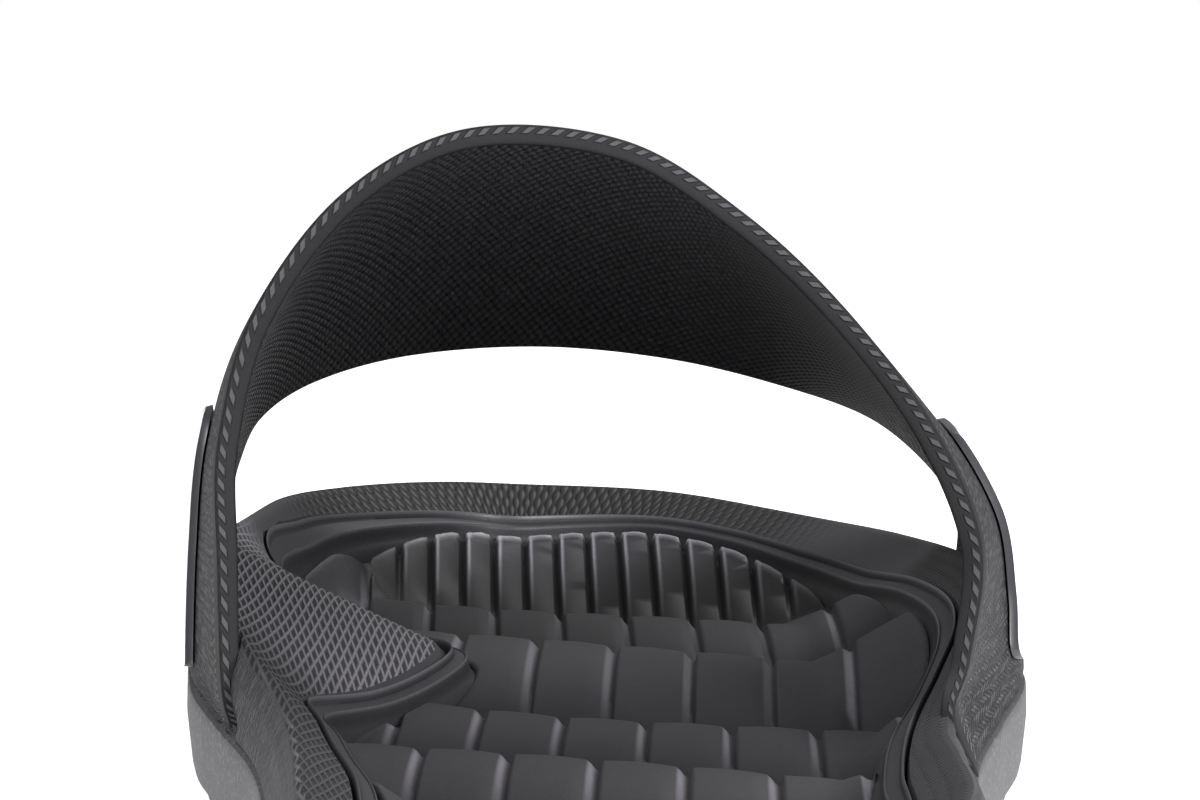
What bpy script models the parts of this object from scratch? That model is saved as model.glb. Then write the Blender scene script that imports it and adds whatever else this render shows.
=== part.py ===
"""Sport slide sandal for the right foot: outsole, cup midsole, footbed insert, one hollow strap and two side panels.

Metres, +Z up. The toe points to +Y, the big toe is on the -X side, and the sandal stands on z = 0.
"""

import math
from collections import namedtuple

import bmesh
import bpy
import numpy as np

# Overall sizes
LENGTH = 0.290
WIDTH = 0.1140
SOLE_HEIGHT = 0.042
STRAP_TOP = 0.1035

# Underside: how far the toe, the heel's back and the arch are lifted off the floor
TOE_SPRING = 0.0075
HEEL_BEVEL = 0.003
ARCH_LIFT = 0.002
TOE_SPRING_START = 0.30
HEEL_BEVEL_START = -0.41
ARCH_START = -0.215
ARCH_END = 0.095

# Outsole
OUTSOLE_THICKNESS = 0.004
OUTSOLE_INSET = 0.0055
OUTSOLE_BEVEL = 0.0015
TREAD_BORDER = 0.006
LUG_PITCH = 0.014
LUG_GAP = 0.0032
LUG_DEPTH = 0.0018
LUG_SLANT = 0.38

# Midsole
RIDGE_INSET = 0.0045
SEAM_DEPTH = 0.0007

# Footbed insert
BED_THICKNESS = 0.0085
BEAD_WIDTH = 0.0032
BEAD_RISE = 0.0009
BEAD_CHANNEL = 0.0009
RIB_PITCH = 0.00485
PAD_PITCH = 0.0110
GROOVE_BEVEL = 0.0011
GROOVE_WALL = 0.0004
GROOVE_DEPTH = 0.0013
ROW_RISE = 0.0030
ROW_FACE = 0.010
ROW_SLANT = math.radians(27)
RIB_SLOPE = 0.026

# Strap and the panels on it
STRAP_WALL = 0.0027
EDGE_CROWN = 0.0005
STRAP_INSET = 0.0004
PANEL_THICKNESS = 0.0011
SEAT = 0.0003
STRAP_POCKET = 0.004

# Steps of the meshes along and across
STEPS_A_ROW = 3
STRAP_COLUMNS = 8
CAP_COLUMNS = 3
PANEL_ROWS = 14
PANEL_COLUMNS = 6

# The midsole's side from its bottom edge to the seam and its shoulder from the seam to the ridge. Inset is the way in
# from the contour, and share one of the height of the side or of the shoulder. Lift is added to the height.
Step = namedtuple("Step", "place inset share lift")
SIDE = [
    Step("bottom edge", 0.0046, 0.0, 0.0),
    Step("lower side", 0.0034, 0.25, 0.0),
    Step("step", 0.0017, 0.47, 0.0),
    Step("step top", 0.0009, 0.50, 0.0),
    Step("upper side", 0.0, 0.80, 0.0),
    Step("seam lip", 0.0002, 1.0, -SEAM_DEPTH),
    Step("seam floor", SEAM_DEPTH, 1.0, 0.0),
]
SHOULDER = [
    Step("shoulder foot", SEAM_DEPTH, 0.03, 0.0),
    Step("shoulder", 0.0022, 0.62, 0.0),
    Step("ridge side", 0.0037, 0.95, 0.0),
]

# The insert's rings from its outer edge to the pads. Over bead and over channel are shares of their widths counted
# inwards from the edge, and rise is one of BEAD_RISE.
Ring = namedtuple("Ring", "place over_bead over_channel rise")
INSERT_RINGS = [
    Ring("edge", 0.0, 0.0, 0.0),
    Ring("bead crest", 0.40, 0.0, 1.0),
    Ring("bead side", 0.90, 0.0, 0.5),
    Ring("channel", 1.0, 0.3, -1.0),
]

# The sole's sections from heel to toe. Across is a share of WIDTH and along one of LENGTH. Ridge, seam and bed are
# heights over the underside as shares of SOLE_HEIGHT. Flank is how far the rim's slope comes in from the contour to
# the pads, and reach how far in the bed's edge still rises, as shares of WIDTH.
Section = namedtuple(
    "Section",
    "place medial_across medial_along lateral_across lateral_along medial_ridge lateral_ridge seam bed"
    " medial_flank lateral_flank medial_reach lateral_reach",
)
SECTIONS = [
    Section("heel tip", 0.008, -0.500, 0.008, -0.500, 0.905, 0.905, 0.643, 0.690, 0.132, 0.132, 0.193, 0.193),
    Section("heel round", -0.180, -0.483, 0.193, -0.483, 0.919, 0.919, 0.652, 0.698, 0.132, 0.132, 0.193, 0.193),
    Section("heel side", -0.294, -0.434, 0.307, -0.434, 0.952, 0.952, 0.695, 0.733, 0.132, 0.132, 0.193, 0.193),
    Section("heel seat", -0.346, -0.359, 0.360, -0.359, 0.940, 0.940, 0.690, 0.738, 0.123, 0.123, 0.175, 0.175),
    Section("shank back", -0.362, -0.259, 0.371, -0.259, 0.905, 0.893, 0.681, 0.710, 0.118, 0.118, 0.158, 0.158),
    Section("waist", -0.386, -0.155, 0.386, -0.158, 0.867, 0.824, 0.667, 0.667, 0.105, 0.105, 0.132, 0.140),
    Section("arch", -0.439, -0.062, 0.436, -0.068, 0.881, 0.881, 0.643, 0.595, 0.137, 0.105, 0.150, 0.140),
    Section("instep", -0.479, 0.021, 0.483, 0.014, 0.952, 0.936, 0.662, 0.562, 0.246, 0.110, 0.255, 0.193),
    Section("wide back", -0.497, 0.131, 0.497, 0.076, 1.000, 0.964, 0.681, 0.595, 0.345, 0.114, 0.350, 0.228),
    Section("wide front", -0.496, 0.186, 0.487, 0.159, 0.983, 0.936, 0.671, 0.600, 0.240, 0.123, 0.255, 0.228),
    Section("ball", -0.482, 0.269, 0.454, 0.255, 0.940, 0.876, 0.657, 0.576, 0.096, 0.132, 0.123, 0.200),
    Section("toes", -0.442, 0.359, 0.390, 0.334, 0.902, 0.833, 0.633, 0.533, 0.090, 0.136, 0.130, 0.240),
    Section("toe side", -0.364, 0.428, 0.276, 0.412, 0.817, 0.767, 0.569, 0.531, 0.114, 0.136, 0.188, 0.320),
    Section("toe round", -0.232, 0.484, 0.127, 0.474, 0.712, 0.700, 0.507, 0.524, 0.131, 0.136, 0.192, 0.260),
    Section("toe tip", -0.075, 0.500, -0.075, 0.500, 0.664, 0.664, 0.471, 0.500, 0.136, 0.136, 0.180, 0.180),
]

# The strap's outer face in bands from the medial seam over the foot to the lateral seam. Across is a share of WIDTH
# and along one of LENGTH. Up is a share of the height from the seam to STRAP_TOP, and wall one of STRAP_WALL.
Band = namedtuple(
    "Band", "place back_across back_along back_up mid_across mid_along mid_up front_across front_along front_up wall"
)
BANDS = [
    Band("medial seam", -0.430, -0.093, 0.020, -0.493, 0.059, 0.020, -0.486, 0.241, 0.020, 0.80),
    Band("medial foot", -0.439, -0.069, 0.067, -0.494, 0.083, 0.070, -0.488, 0.234, 0.083, 0.90),
    Band("medial low", -0.440, -0.041, 0.269, -0.484, 0.093, 0.230, -0.482, 0.228, 0.190, 1.00),
    Band("medial side", -0.437, -0.022, 0.458, -0.466, 0.100, 0.398, -0.467, 0.222, 0.297, 1.00),
    Band("medial high", -0.399, -0.009, 0.672, -0.430, 0.107, 0.549, -0.434, 0.219, 0.397, 1.00),
    Band("medial shoulder", -0.298, -0.001, 0.877, -0.341, 0.111, 0.700, -0.360, 0.219, 0.472, 1.00),
    Band("medial crown", -0.158, 0.000, 0.988, -0.203, 0.115, 0.785, -0.237, 0.222, 0.522, 1.00),
    Band("crown", 0.018, 0.000, 0.968, -0.026, 0.117, 0.783, -0.070, 0.225, 0.538, 1.00),
    Band("lateral crown", 0.154, -0.002, 0.843, 0.133, 0.114, 0.707, 0.096, 0.224, 0.515, 1.00),
    Band("lateral shoulder", 0.268, -0.011, 0.680, 0.268, 0.107, 0.598, 0.241, 0.221, 0.464, 1.00),
    Band("lateral high", 0.364, -0.029, 0.485, 0.386, 0.095, 0.447, 0.355, 0.219, 0.401, 1.00),
    Band("lateral side", 0.411, -0.059, 0.298, 0.454, 0.079, 0.311, 0.434, 0.219, 0.303, 1.00),
    Band("lateral low", 0.384, -0.112, 0.142, 0.482, 0.059, 0.183, 0.474, 0.226, 0.197, 0.85),
    Band("lateral foot", 0.356, -0.155, 0.088, 0.493, 0.048, 0.083, 0.476, 0.234, 0.097, 0.62),
    Band("lateral seam", 0.372, -0.188, 0.020, 0.493, 0.034, 0.020, 0.463, 0.241, 0.020, 0.62),
]

# Rows of the footbed from the toe back, each between two slanted valleys at shares of LENGTH. Shift is a share of
# the pitch from one groove to the next, and tilt turns the grooves.
PadRow = namedtuple("PadRow", "name front back pitch shift tilt")
PAD_ROWS = [
    PadRow("toe ribs", 0.70, 0.324, RIB_PITCH, -0.10, 0.0),
    PadRow("toe pads", 0.324, 0.214, 2 * RIB_PITCH, 0.42, 0.0),
    PadRow("ball pads", 0.214, 0.042, PAD_PITCH, -0.14, math.radians(3)),
    PadRow("instep pads", 0.042, -0.103, PAD_PITCH, 0.36, math.radians(3)),
    PadRow("arch pads", -0.103, -0.238, PAD_PITCH, -0.14, math.radians(3)),
    PadRow("heel pads", -0.238, -0.365, PAD_PITCH, 0.36, math.radians(3)),
    PadRow("back pads", -0.365, -0.70, PAD_PITCH, -0.14, math.radians(3)),
]

# A panel lies between two bands and between two shares of the strap's depth from its back edge to its front edge. Its
# first and last lines are narrowed to round its ends.
Panel = namedtuple("Panel", "node low_band high_band low_back low_front high_back high_front")
PANEL_ENDS = {0: 0.72, 1: 0.90, 2: 0.98}
PANELS = [
    Panel("side_panel_medial", 0.45, 3.35, 0.30, 0.70, 0.30, 0.66),
    Panel("side_panel_lateral", 13.45, 10.15, 0.36, 0.72, 0.30, 0.64),
]


def spline(rows, place):
    """The Catmull-Rom curve through rows at a place counted in rows, held at both ends."""
    last = len(rows) - 1
    step = min(max(int(math.floor(place)), 0), last - 1)
    share = place - step
    before = rows[step - 1] if step else 2 * rows[0] - rows[1]
    after = rows[step + 2] if step + 2 <= last else 2 * rows[last] - rows[last - 1]
    start, end = rows[step], rows[step + 1]
    bend = 2 * before - 5 * start + 4 * end - after
    twist = 3 * (start - end) + after - before
    return start + 0.5 * share * (end - before + share * (bend + share * twist))


def column(table, *names):
    return [np.array([getattr(row, name) for name in names], dtype=float) for row in table]


def eased(share):
    share = min(max(share, 0.0), 1.0)
    return share * share * (3 - 2 * share)


def underside(along):
    """Height of the tread's faces over the floor, which is zero under the ball and the heel."""
    share = along / LENGTH
    toe = max(0.0, (share - TOE_SPRING_START) / (0.5 - TOE_SPRING_START))
    heel = max(0.0, (HEEL_BEVEL_START - share) / (0.5 + HEEL_BEVEL_START))
    arch = min(max((share - ARCH_START) / (ARCH_END - ARCH_START), 0.0), 1.0)
    return TOE_SPRING * toe**2 + HEEL_BEVEL * heel**2 + ARCH_LIFT * math.sin(math.pi * arch) ** 2


class Contour:
    """The sole's widest outline as a closed loop: heel tip, medial side, toe tip, lateral side."""

    def __init__(self, steps_a_row):
        last = len(SECTIONS) - 1
        side = last * steps_a_row
        medial = column(SECTIONS, "medial_across", "medial_along", "medial_ridge", "medial_flank", "medial_reach")
        lateral = column(SECTIONS, "lateral_across", "lateral_along", "lateral_ridge", "lateral_flank", "lateral_reach")
        both = column(SECTIONS, "seam", "bed")
        loop = [np.concatenate(pair) for pair in zip(medial, both)]
        loop += [np.concatenate(pair) for pair in zip(lateral, both)][-2:0:-1]
        wrapped = loop[-2:] + loop + loop[:3]
        values = np.array([spline(wrapped, 2 + step / steps_a_row) for step in range(2 * side)])
        self.count = 2 * side
        self.toe = side
        self.plan = values[:, :2] * (WIDTH, LENGTH)
        self.ridge, self.flank, self.reach, self.seam, self.bed = values[:, 2:].T
        ahead = np.roll(self.plan, -1, axis=0) - np.roll(self.plan, 1, axis=0)
        ahead /= np.linalg.norm(ahead, axis=1)[:, None]
        self.inward = np.stack([ahead[:, 1], -ahead[:, 0]], axis=1)

    def inset(self, amount):
        """The outline moved in by one amount, or by one for each point."""
        return self.plan + self.inward * np.broadcast_to(amount, self.count)[:, None]

    def flank_edge(self):
        return self.flank * WIDTH

    def over_ground(self, plan, share):
        return np.array([underside(point[1]) for point in plan]) + share * SOLE_HEIGHT


OUTLINE = Contour(STEPS_A_ROW)
FINE_OUTLINE = Contour(4 * STEPS_A_ROW)
CENTRE_ALONG = np.array([(row.medial_along + row.lateral_along) / 2 for row in SECTIONS]) * LENGTH
MIDDLE_ROWS = column(SECTIONS, "seam", "bed")
BAND_ROWS = [np.array(row[1:]) for row in BANDS]


def middle_heights(along):
    """Heights of the seam and of the bed's middle at a place along the foot."""
    place = float(np.interp(along, CENTRE_ALONG, range(len(SECTIONS))))
    return underside(along) + spline(MIDDLE_ROWS, place) * SOLE_HEIGHT


def bed_middle(along):
    return float(middle_heights(along)[1])


def nearest_on_contour(across, along):
    """(distance in from the contour, index of the nearest point of the fine outline)"""
    offsets = FINE_OUTLINE.plan - (across, along)
    index = int(np.argmin(np.einsum("ij,ij->i", offsets, offsets)))
    return abs(float(offsets[index] @ FINE_OUTLINE.inward[index])), index


def slope_height(distance, ridge, reach, along):
    """Height of the rim's inner slope: the ridge's height at its line, falling evenly to the bed at the reach."""
    ridge_height = underside(along) + ridge * SOLE_HEIGHT
    share = (distance - RIDGE_INSET) / (reach * WIDTH - RIDGE_INSET)
    fall = 1 - min(max(share, 0.0), 1.0)
    return bed_middle(along) + (ridge_height - bed_middle(along)) * fall


def slanted(across, along):
    """Place along the foot at the middle of the slanted line through a point, as a share of LENGTH."""
    return (along + across * math.tan(ROW_SLANT)) / LENGTH


def pad_row_at(share):
    for row in PAD_ROWS:
        if share > row.back:
            return row
    return PAD_ROWS[-1]


def row_fall(share, row):
    """How far the bed has fallen from its crest towards the valley beside it: zero on the crest, one in a valley."""
    if row is PAD_ROWS[0]:
        return (1 - min((share - row.back) * LENGTH / RIB_SLOPE, 1.0)) ** 2
    crest = row.front - ROW_FACE / LENGTH
    if share > crest:
        return ((share - crest) * LENGTH / ROW_FACE) ** 2
    return ((crest - share) / (crest - row.back)) ** 2


def groove_share(across, along, row):
    """Zero on a pad and one at the foot of the groove beside it: a wide bevel, then a steep wall."""
    place = (across - along * math.tan(row.tilt) - row.shift * row.pitch) % row.pitch
    if place < GROOVE_BEVEL:
        return place / GROOVE_BEVEL
    return max(0.0, 1 - (place - GROOVE_BEVEL) / GROOVE_WALL)


def bed_height(across, along):
    """Height of the footbed's top: cupped edges, slanted rows with valleys between them, and grooves in each row."""
    distance, index = nearest_on_contour(across, along)
    height = slope_height(distance, FINE_OUTLINE.ridge[index], FINE_OUTLINE.reach[index], along)
    share = slanted(across, along)
    row = pad_row_at(share)
    fall = row_fall(share, row)
    groove = GROOVE_DEPTH * groove_share(across, along, row)
    return height - ROW_RISE * fall - groove * (1 - fall**3)


def new_object(name, shape, colour, roughness):
    """Finishes a shape as one object with faces out, its own material and creased edges kept sharp."""
    bmesh.ops.recalc_face_normals(shape, faces=shape.faces)
    mesh = bpy.data.meshes.new(name)
    shape.to_mesh(mesh)
    shape.free()
    material = bpy.data.materials.new(name)
    material.use_nodes = True
    shader = material.node_tree.nodes["Principled BSDF"]
    shader.inputs["Base Color"].default_value = (*colour, 1.0)
    shader.inputs["Roughness"].default_value = roughness
    shader.inputs["Metallic"].default_value = 0.0
    mesh.materials.append(material)
    mesh.shade_smooth()
    mesh.set_sharp_from_angle(angle=math.radians(35))
    piece = bpy.data.objects.new(name, mesh)
    return piece


def collection_named(name):
    collection = bpy.data.collections.new(name)
    bpy.context.scene.collection.children.link(collection)
    return collection


def add_ring(shape, plan, heights):
    return [shape.verts.new((x, y, z)) for (x, y), z in zip(plan, heights)]


def bridge(shape, first, second):
    count = len(first)
    for here in range(count):
        after = (here + 1) % count
        shape.faces.new((first[here], first[after], second[after], second[here]))


def ladder_cap(shape, ring, height_at):
    """Closes a ring of the sole with cross lines from its medial to its lateral points."""
    count = len(ring)
    half = count // 2
    lines = []
    for step in range(1, half):
        medial, lateral = ring[step], ring[count - step]
        line = [medial]
        for part in range(1, CAP_COLUMNS):
            point = medial.co.lerp(lateral.co, part / CAP_COLUMNS)
            line.append(shape.verts.new((point.x, point.y, height_at(point.y))))
        lines.append(line + [lateral])
    for near, far in zip(lines, lines[1:]):
        for part in range(CAP_COLUMNS):
            shape.faces.new((near[part], near[part + 1], far[part + 1], far[part]))
    for tip, line in ((ring[0], lines[0]), (ring[half], lines[-1])):
        for part in range(CAP_COLUMNS):
            shape.faces.new((tip, line[part], line[part + 1]))


def cut(shape, faces, point, normal):
    """Cuts flat faces along a line in plan and returns all the faces that then make them up."""
    edges = {edge for face in faces for edge in face.edges}
    corners = {corner for face in faces for corner in face.verts}
    result = bmesh.ops.bisect_plane(
        shape, geom=[*faces, *edges, *corners], dist=1e-7, plane_co=(*point, 0), plane_no=(*normal, 0)
    )
    made = [item for item in result["geom"] if isinstance(item, bmesh.types.BMFace)]
    return [face for face in dict.fromkeys([*faces, *made]) if face.is_valid]


def patterned_cap(shape, ring, pattern, height_at):
    """Closes a ring with a face that is cut in plan along the pattern's lines and then lifted to its height."""
    for corner in ring:
        corner.co.z = 0
    faces = pattern(shape, [shape.faces.new(ring)])
    flat = bmesh.ops.triangulate(shape, faces=faces, quad_method="BEAUTY", ngon_method="BEAUTY")["faces"]
    for corner in {corner for face in flat for corner in face.verts}:
        corner.co.z = height_at(corner.co.x, corner.co.y)


def pattern_lines(low, high, pitch, shift, offsets):
    """Places from low to high of the lines that repeat with the pitch, each repeat having one line at each offset."""
    first = math.floor((low - shift) / pitch) - 1
    last = math.ceil((high - shift) / pitch) + 1
    places = [shift + repeat * pitch + offset for repeat in range(first, last) for offset in offsets]
    return [place for place in places if low < place < high]


def footbed_pattern(shape, faces):
    """Cuts the bed across at each valley and in each row, then cuts each row along its own grooves."""
    slant = (math.tan(ROW_SLANT), 1.0)
    for row in PAD_ROWS:
        for share in row_lines(row):
            faces = cut(shape, faces, (0.0, share * LENGTH), slant)
    done = []
    for row in PAD_ROWS:
        inside = [face for face in faces if pad_row_at(slanted(*face.calc_center_median().xy)) is row]
        middle = (row.front + row.back) / 2 * LENGTH
        offsets = (0.0, GROOVE_BEVEL, GROOVE_BEVEL + GROOVE_WALL)
        tilt = math.tan(row.tilt)
        for place in pattern_lines(-WIDTH, WIDTH, row.pitch, row.shift * row.pitch, offsets):
            inside = cut(shape, inside, (place + middle * tilt, middle), (1.0, -tilt))
        done += inside
    return done


def row_lines(row):
    """Shares of LENGTH at which a row is cut across, so that its crest and its slopes are rounded."""
    if row is PAD_ROWS[0]:
        return [row.back] + [row.back + RIB_SLOPE / LENGTH * part / 4 for part in range(1, 7)]
    crest = row.front - ROW_FACE / LENGTH
    front = [crest + ROW_FACE / LENGTH * part for part in (0.0, 0.5, 0.85)]
    return [row.back] + [row.back + (crest - row.back) * part for part in (0.12, 0.35, 0.68)] + front


def tread_pattern(shape, faces):
    """Cuts each half of the tread along slanted lines that meet in arrowheads at the middle."""
    faces = cut(shape, faces, (0.0, 0.0), (1.0, 0.0))
    done = []
    for side in (-1, 1):
        inside = [face for face in faces if face.calc_center_median().x * side > 0]
        offsets = (0.0, LUG_GAP / 4, LUG_GAP * 3 / 4, LUG_GAP)
        for place in pattern_lines(-LENGTH, LENGTH, LUG_PITCH, 0.0, offsets):
            inside = cut(shape, inside, (0.0, place), (side * LUG_SLANT, 1.0))
        done += inside
    return done


def tread_height(across, along):
    place = (along + abs(across) * LUG_SLANT) % LUG_PITCH
    slope = LUG_GAP / 4
    depth = min(1.0, place / slope, max(0.0, LUG_GAP - place) / slope)
    return underside(along) + LUG_DEPTH * depth


def make_outsole():
    shape = bmesh.new()
    bottom_plan = OUTLINE.inset(OUTSOLE_INSET + OUTSOLE_BEVEL)
    top_plan = OUTLINE.inset(OUTSOLE_INSET)
    border_plan = OUTLINE.inset(OUTSOLE_INSET + OUTSOLE_BEVEL + TREAD_BORDER)
    border = add_ring(shape, border_plan, OUTLINE.over_ground(border_plan, 0.0))
    bottom = add_ring(shape, bottom_plan, OUTLINE.over_ground(bottom_plan, 0.0))
    edge = add_ring(shape, top_plan, OUTLINE.over_ground(top_plan, 0.0) + OUTSOLE_BEVEL)
    top = add_ring(shape, top_plan, OUTLINE.over_ground(top_plan, 0.0) + OUTSOLE_THICKNESS)
    bridge(shape, border, bottom)
    bridge(shape, bottom, edge)
    bridge(shape, edge, top)
    ladder_cap(shape, top, lambda along: underside(along) + OUTSOLE_THICKNESS)
    patterned_cap(shape, border, tread_pattern, tread_height)
    return new_object("outsole", shape, (0.030, 0.029, 0.032), 0.62)


def slope_ring(shape, inset, rise=0.0):
    """A ring on the rim's inner slope or its run into the bed, raised off it where a rise is given."""
    plan = OUTLINE.inset(inset)
    insets = np.broadcast_to(inset, OUTLINE.count)
    heights = [
        slope_height(distance, ridge, reach, point[1]) + rise
        for distance, ridge, reach, point in zip(insets, OUTLINE.ridge, OUTLINE.reach, plan)
    ]
    return add_ring(shape, plan, heights)


def insert_edge():
    """Inset of the footbed insert's pocket, whose edge carries the bead round the pads."""
    return OUTLINE.flank_edge() - BEAD_WIDTH - BEAD_CHANNEL


def side_ring(shape, step):
    """A ring on the midsole's side, between its bottom edge and the seam."""
    plan = OUTLINE.inset(step.inset)
    bottom = OUTLINE.over_ground(plan, 0.0) + OUTSOLE_THICKNESS + SEAT
    seam = OUTLINE.over_ground(plan, OUTLINE.seam)
    return add_ring(shape, plan, bottom + (seam - bottom) * step.share + step.lift)


def shoulder_ring(shape, step):
    """A ring on the shoulder, between the seam and the ridge."""
    plan = OUTLINE.inset(step.inset)
    seam = OUTLINE.over_ground(plan, OUTLINE.seam)
    ridge = OUTLINE.over_ground(plan, OUTLINE.ridge)
    return add_ring(shape, plan, seam + (ridge - seam) * step.share + step.lift)


def make_midsole():
    """The cup: a flared side with a step and a seam, a sloping shoulder, a ridge, and an inner slope to the pocket."""
    shape = bmesh.new()
    edge = insert_edge()
    pocket_plan = OUTLINE.inset(edge)
    floor = [bed_middle(point[1]) - BED_THICKNESS for point in pocket_plan]
    rings = [side_ring(shape, step) for step in SIDE]
    rings += [shoulder_ring(shape, step) for step in SHOULDER]
    rings += [
        slope_ring(shape, RIDGE_INSET),
        slope_ring(shape, (RIDGE_INSET + edge) / 2),
        slope_ring(shape, edge),
        add_ring(shape, pocket_plan, floor),
    ]
    for outer, inner in zip(rings, rings[1:]):
        bridge(shape, outer, inner)
    ladder_cap(shape, rings[0], lambda along: underside(along) + OUTSOLE_THICKNESS + SEAT)
    ladder_cap(shape, rings[-1], lambda along: bed_middle(along) - BED_THICKNESS)
    bmesh.ops.triangulate(shape, faces=shape.faces, quad_method="SHORT_EDGE")
    return new_object("midsole", shape, (0.048, 0.046, 0.050), 0.70)


def make_footbed():
    """The insert: a bead round its edge, a channel inside the bead, and the ribbed and padded bed."""
    shape = bmesh.new()
    edge = insert_edge() + SEAT
    plan = OUTLINE.inset(edge)
    bottom = add_ring(shape, plan, [bed_middle(point[1]) - BED_THICKNESS + SEAT for point in plan])
    pads_plan = OUTLINE.inset(OUTLINE.flank_edge() + SEAT)
    rings = [bottom]
    for ring in INSERT_RINGS:
        inset = edge + BEAD_WIDTH * ring.over_bead + BEAD_CHANNEL * ring.over_channel
        rings.append(slope_ring(shape, inset, BEAD_RISE * ring.rise))
    pads = add_ring(shape, pads_plan, [bed_height(*point) for point in pads_plan])
    rings.append(pads)
    for low, high in zip(rings, rings[1:]):
        bridge(shape, low, high)
    ladder_cap(shape, bottom, lambda along: bed_middle(along) - BED_THICKNESS + SEAT)
    patterned_cap(shape, pads, footbed_pattern, bed_height)
    return new_object("footbed", shape, (0.040, 0.039, 0.043), 0.45)


def contour_across(along, side):
    """How far out the sole's contour lies at a place along the foot, on the side of the given sign."""
    half = FINE_OUTLINE.toe
    line = FINE_OUTLINE.plan[: half + 1] if side < 0 else np.roll(FINE_OUTLINE.plan, -1, axis=0)[half - 1 :][::-1]
    return float(np.interp(along, line[:, 1], line[:, 0]))


def band_point(place, depth):
    """The strap's outer face as its bands give it, from back edge (depth 0) to front edge (depth 1)."""
    back, mid, front = np.split(spline(BAND_ROWS, place)[:9], 3)
    share = back * (1 - depth) * (1 - 2 * depth) + mid * 4 * depth * (1 - depth) + front * depth * (2 * depth - 1)
    return share[0] * WIDTH, share[1] * LENGTH, share[2]


def strap_point(place, depth):
    """The strap's outer face. Its first and last bands are drawn onto the sole's contour, which fades out above."""
    across, along, up = band_point(place, depth)
    last = len(BANDS) - 1
    side = -1 if place < last / 2 else 1
    seam_place = 0 if side < 0 else last
    seam_across, seam_along, _ = band_point(seam_place, depth)
    miss = contour_across(seam_along, side) - side * STRAP_INSET - seam_across
    fade = 1 - eased(abs(place - seam_place) / 3.0)
    seam = float(middle_heights(along)[0])
    return np.array([across + miss * fade, along, seam + up * (STRAP_TOP - seam)])


def contour_out(along, side):
    """The level direction out of the sole's contour at a place along the foot."""
    step = 0.004
    turn = (contour_across(along + step, side) - contour_across(along - step, side)) / (2 * step)
    out = side * np.array([1.0, -turn, 0.0])
    return out / np.linalg.norm(out)


def strap_normal(place, depth):
    """The direction out of the strap's outer face, which turns level beside the sole."""
    last = len(BANDS) - 1
    side = -1 if place < last / 2 else 1
    level = 1 - eased(min(place, last - place) / 1.5)
    step = 0.02
    low, high = max(place - step, 0), min(place + step, last)
    near, far = max(depth - step, 0), min(depth + step, 1)
    over = strap_point(high, depth) - strap_point(low, depth)
    forward = strap_point(place, far) - strap_point(place, near)
    normal = np.cross(over, forward)
    normal /= np.linalg.norm(normal)
    normal = normal * (1 - level) + contour_out(strap_point(place, depth)[1], side) * level
    return normal / np.linalg.norm(normal)


def strap_solid(shape, places, outer, gap, edge_gap):
    """The strap's wall from an offset outside its face to its inner face, with a gap added inside it and under both
    ends, and another beyond its edges.
    """
    loops = []
    for place in places:
        inner = STRAP_WALL * float(spline(BAND_ROWS, place)[-1]) + gap
        depths = np.linspace(0, 1, STRAP_COLUMNS + 1)
        face = [strap_point(place, depth) for depth in depths]
        normals = [strap_normal(place, depth) for depth in depths]
        back = face[0] - face[1]
        front = face[-1] - face[-2]
        back /= np.linalg.norm(back)
        front /= np.linalg.norm(front)
        face[0] = face[0] + back * edge_gap
        face[-1] = face[-1] + front * edge_gap
        outside = [point + normal * outer for point, normal in zip(face, normals)]
        inside = [point - normal * inner for point, normal in zip(face, normals)]
        front_crown = (outside[-1] + inside[-1]) / 2 + front * EDGE_CROWN
        back_crown = (outside[0] + inside[0]) / 2 + back * EDGE_CROWN
        lowered = gap if place in (places[0], places[-1]) else 0.0
        loop = outside + [front_crown] + inside[::-1] + [back_crown]
        loops.append([shape.verts.new(point - (0, 0, lowered)) for point in loop])
    for near, far in zip(loops, loops[1:]):
        bridge(shape, near, far)
    columns = STRAP_COLUMNS
    for loop in (loops[0], loops[-1]):
        for part in range(columns):
            shape.faces.new((loop[part], loop[part + 1], loop[2 * columns + 1 - part], loop[2 * columns + 2 - part]))
        shape.faces.new((loop[columns], loop[columns + 1], loop[columns + 2]))
        shape.faces.new((loop[0], loop[2 * columns + 3], loop[2 * columns + 2]))
    bmesh.ops.triangulate(shape, faces=shape.faces, quad_method="FIXED")


def strap_places():
    last = len(BANDS) - 1
    return [step / STEPS_A_ROW for step in range(last * STEPS_A_ROW + 1)]


def make_strap():
    shape = bmesh.new()
    strap_solid(shape, strap_places(), 0.0, 0.0, 0.0)
    return new_object("strap", shape, (0.036, 0.034, 0.038), 0.72)


def make_strap_pocket():
    """The cutter for the strap's seat in the midsole: the strap's wall with a gap round it, open to the outside."""
    shape = bmesh.new()
    strap_solid(shape, strap_places(), STRAP_POCKET, SEAT, SEAT + EDGE_CROWN)
    pocket = new_object("strap_pocket", shape, (1.0, 0.0, 0.0), 0.5)
    pocket.hide_render = True
    pocket.display_type = "WIRE"
    return pocket


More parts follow.
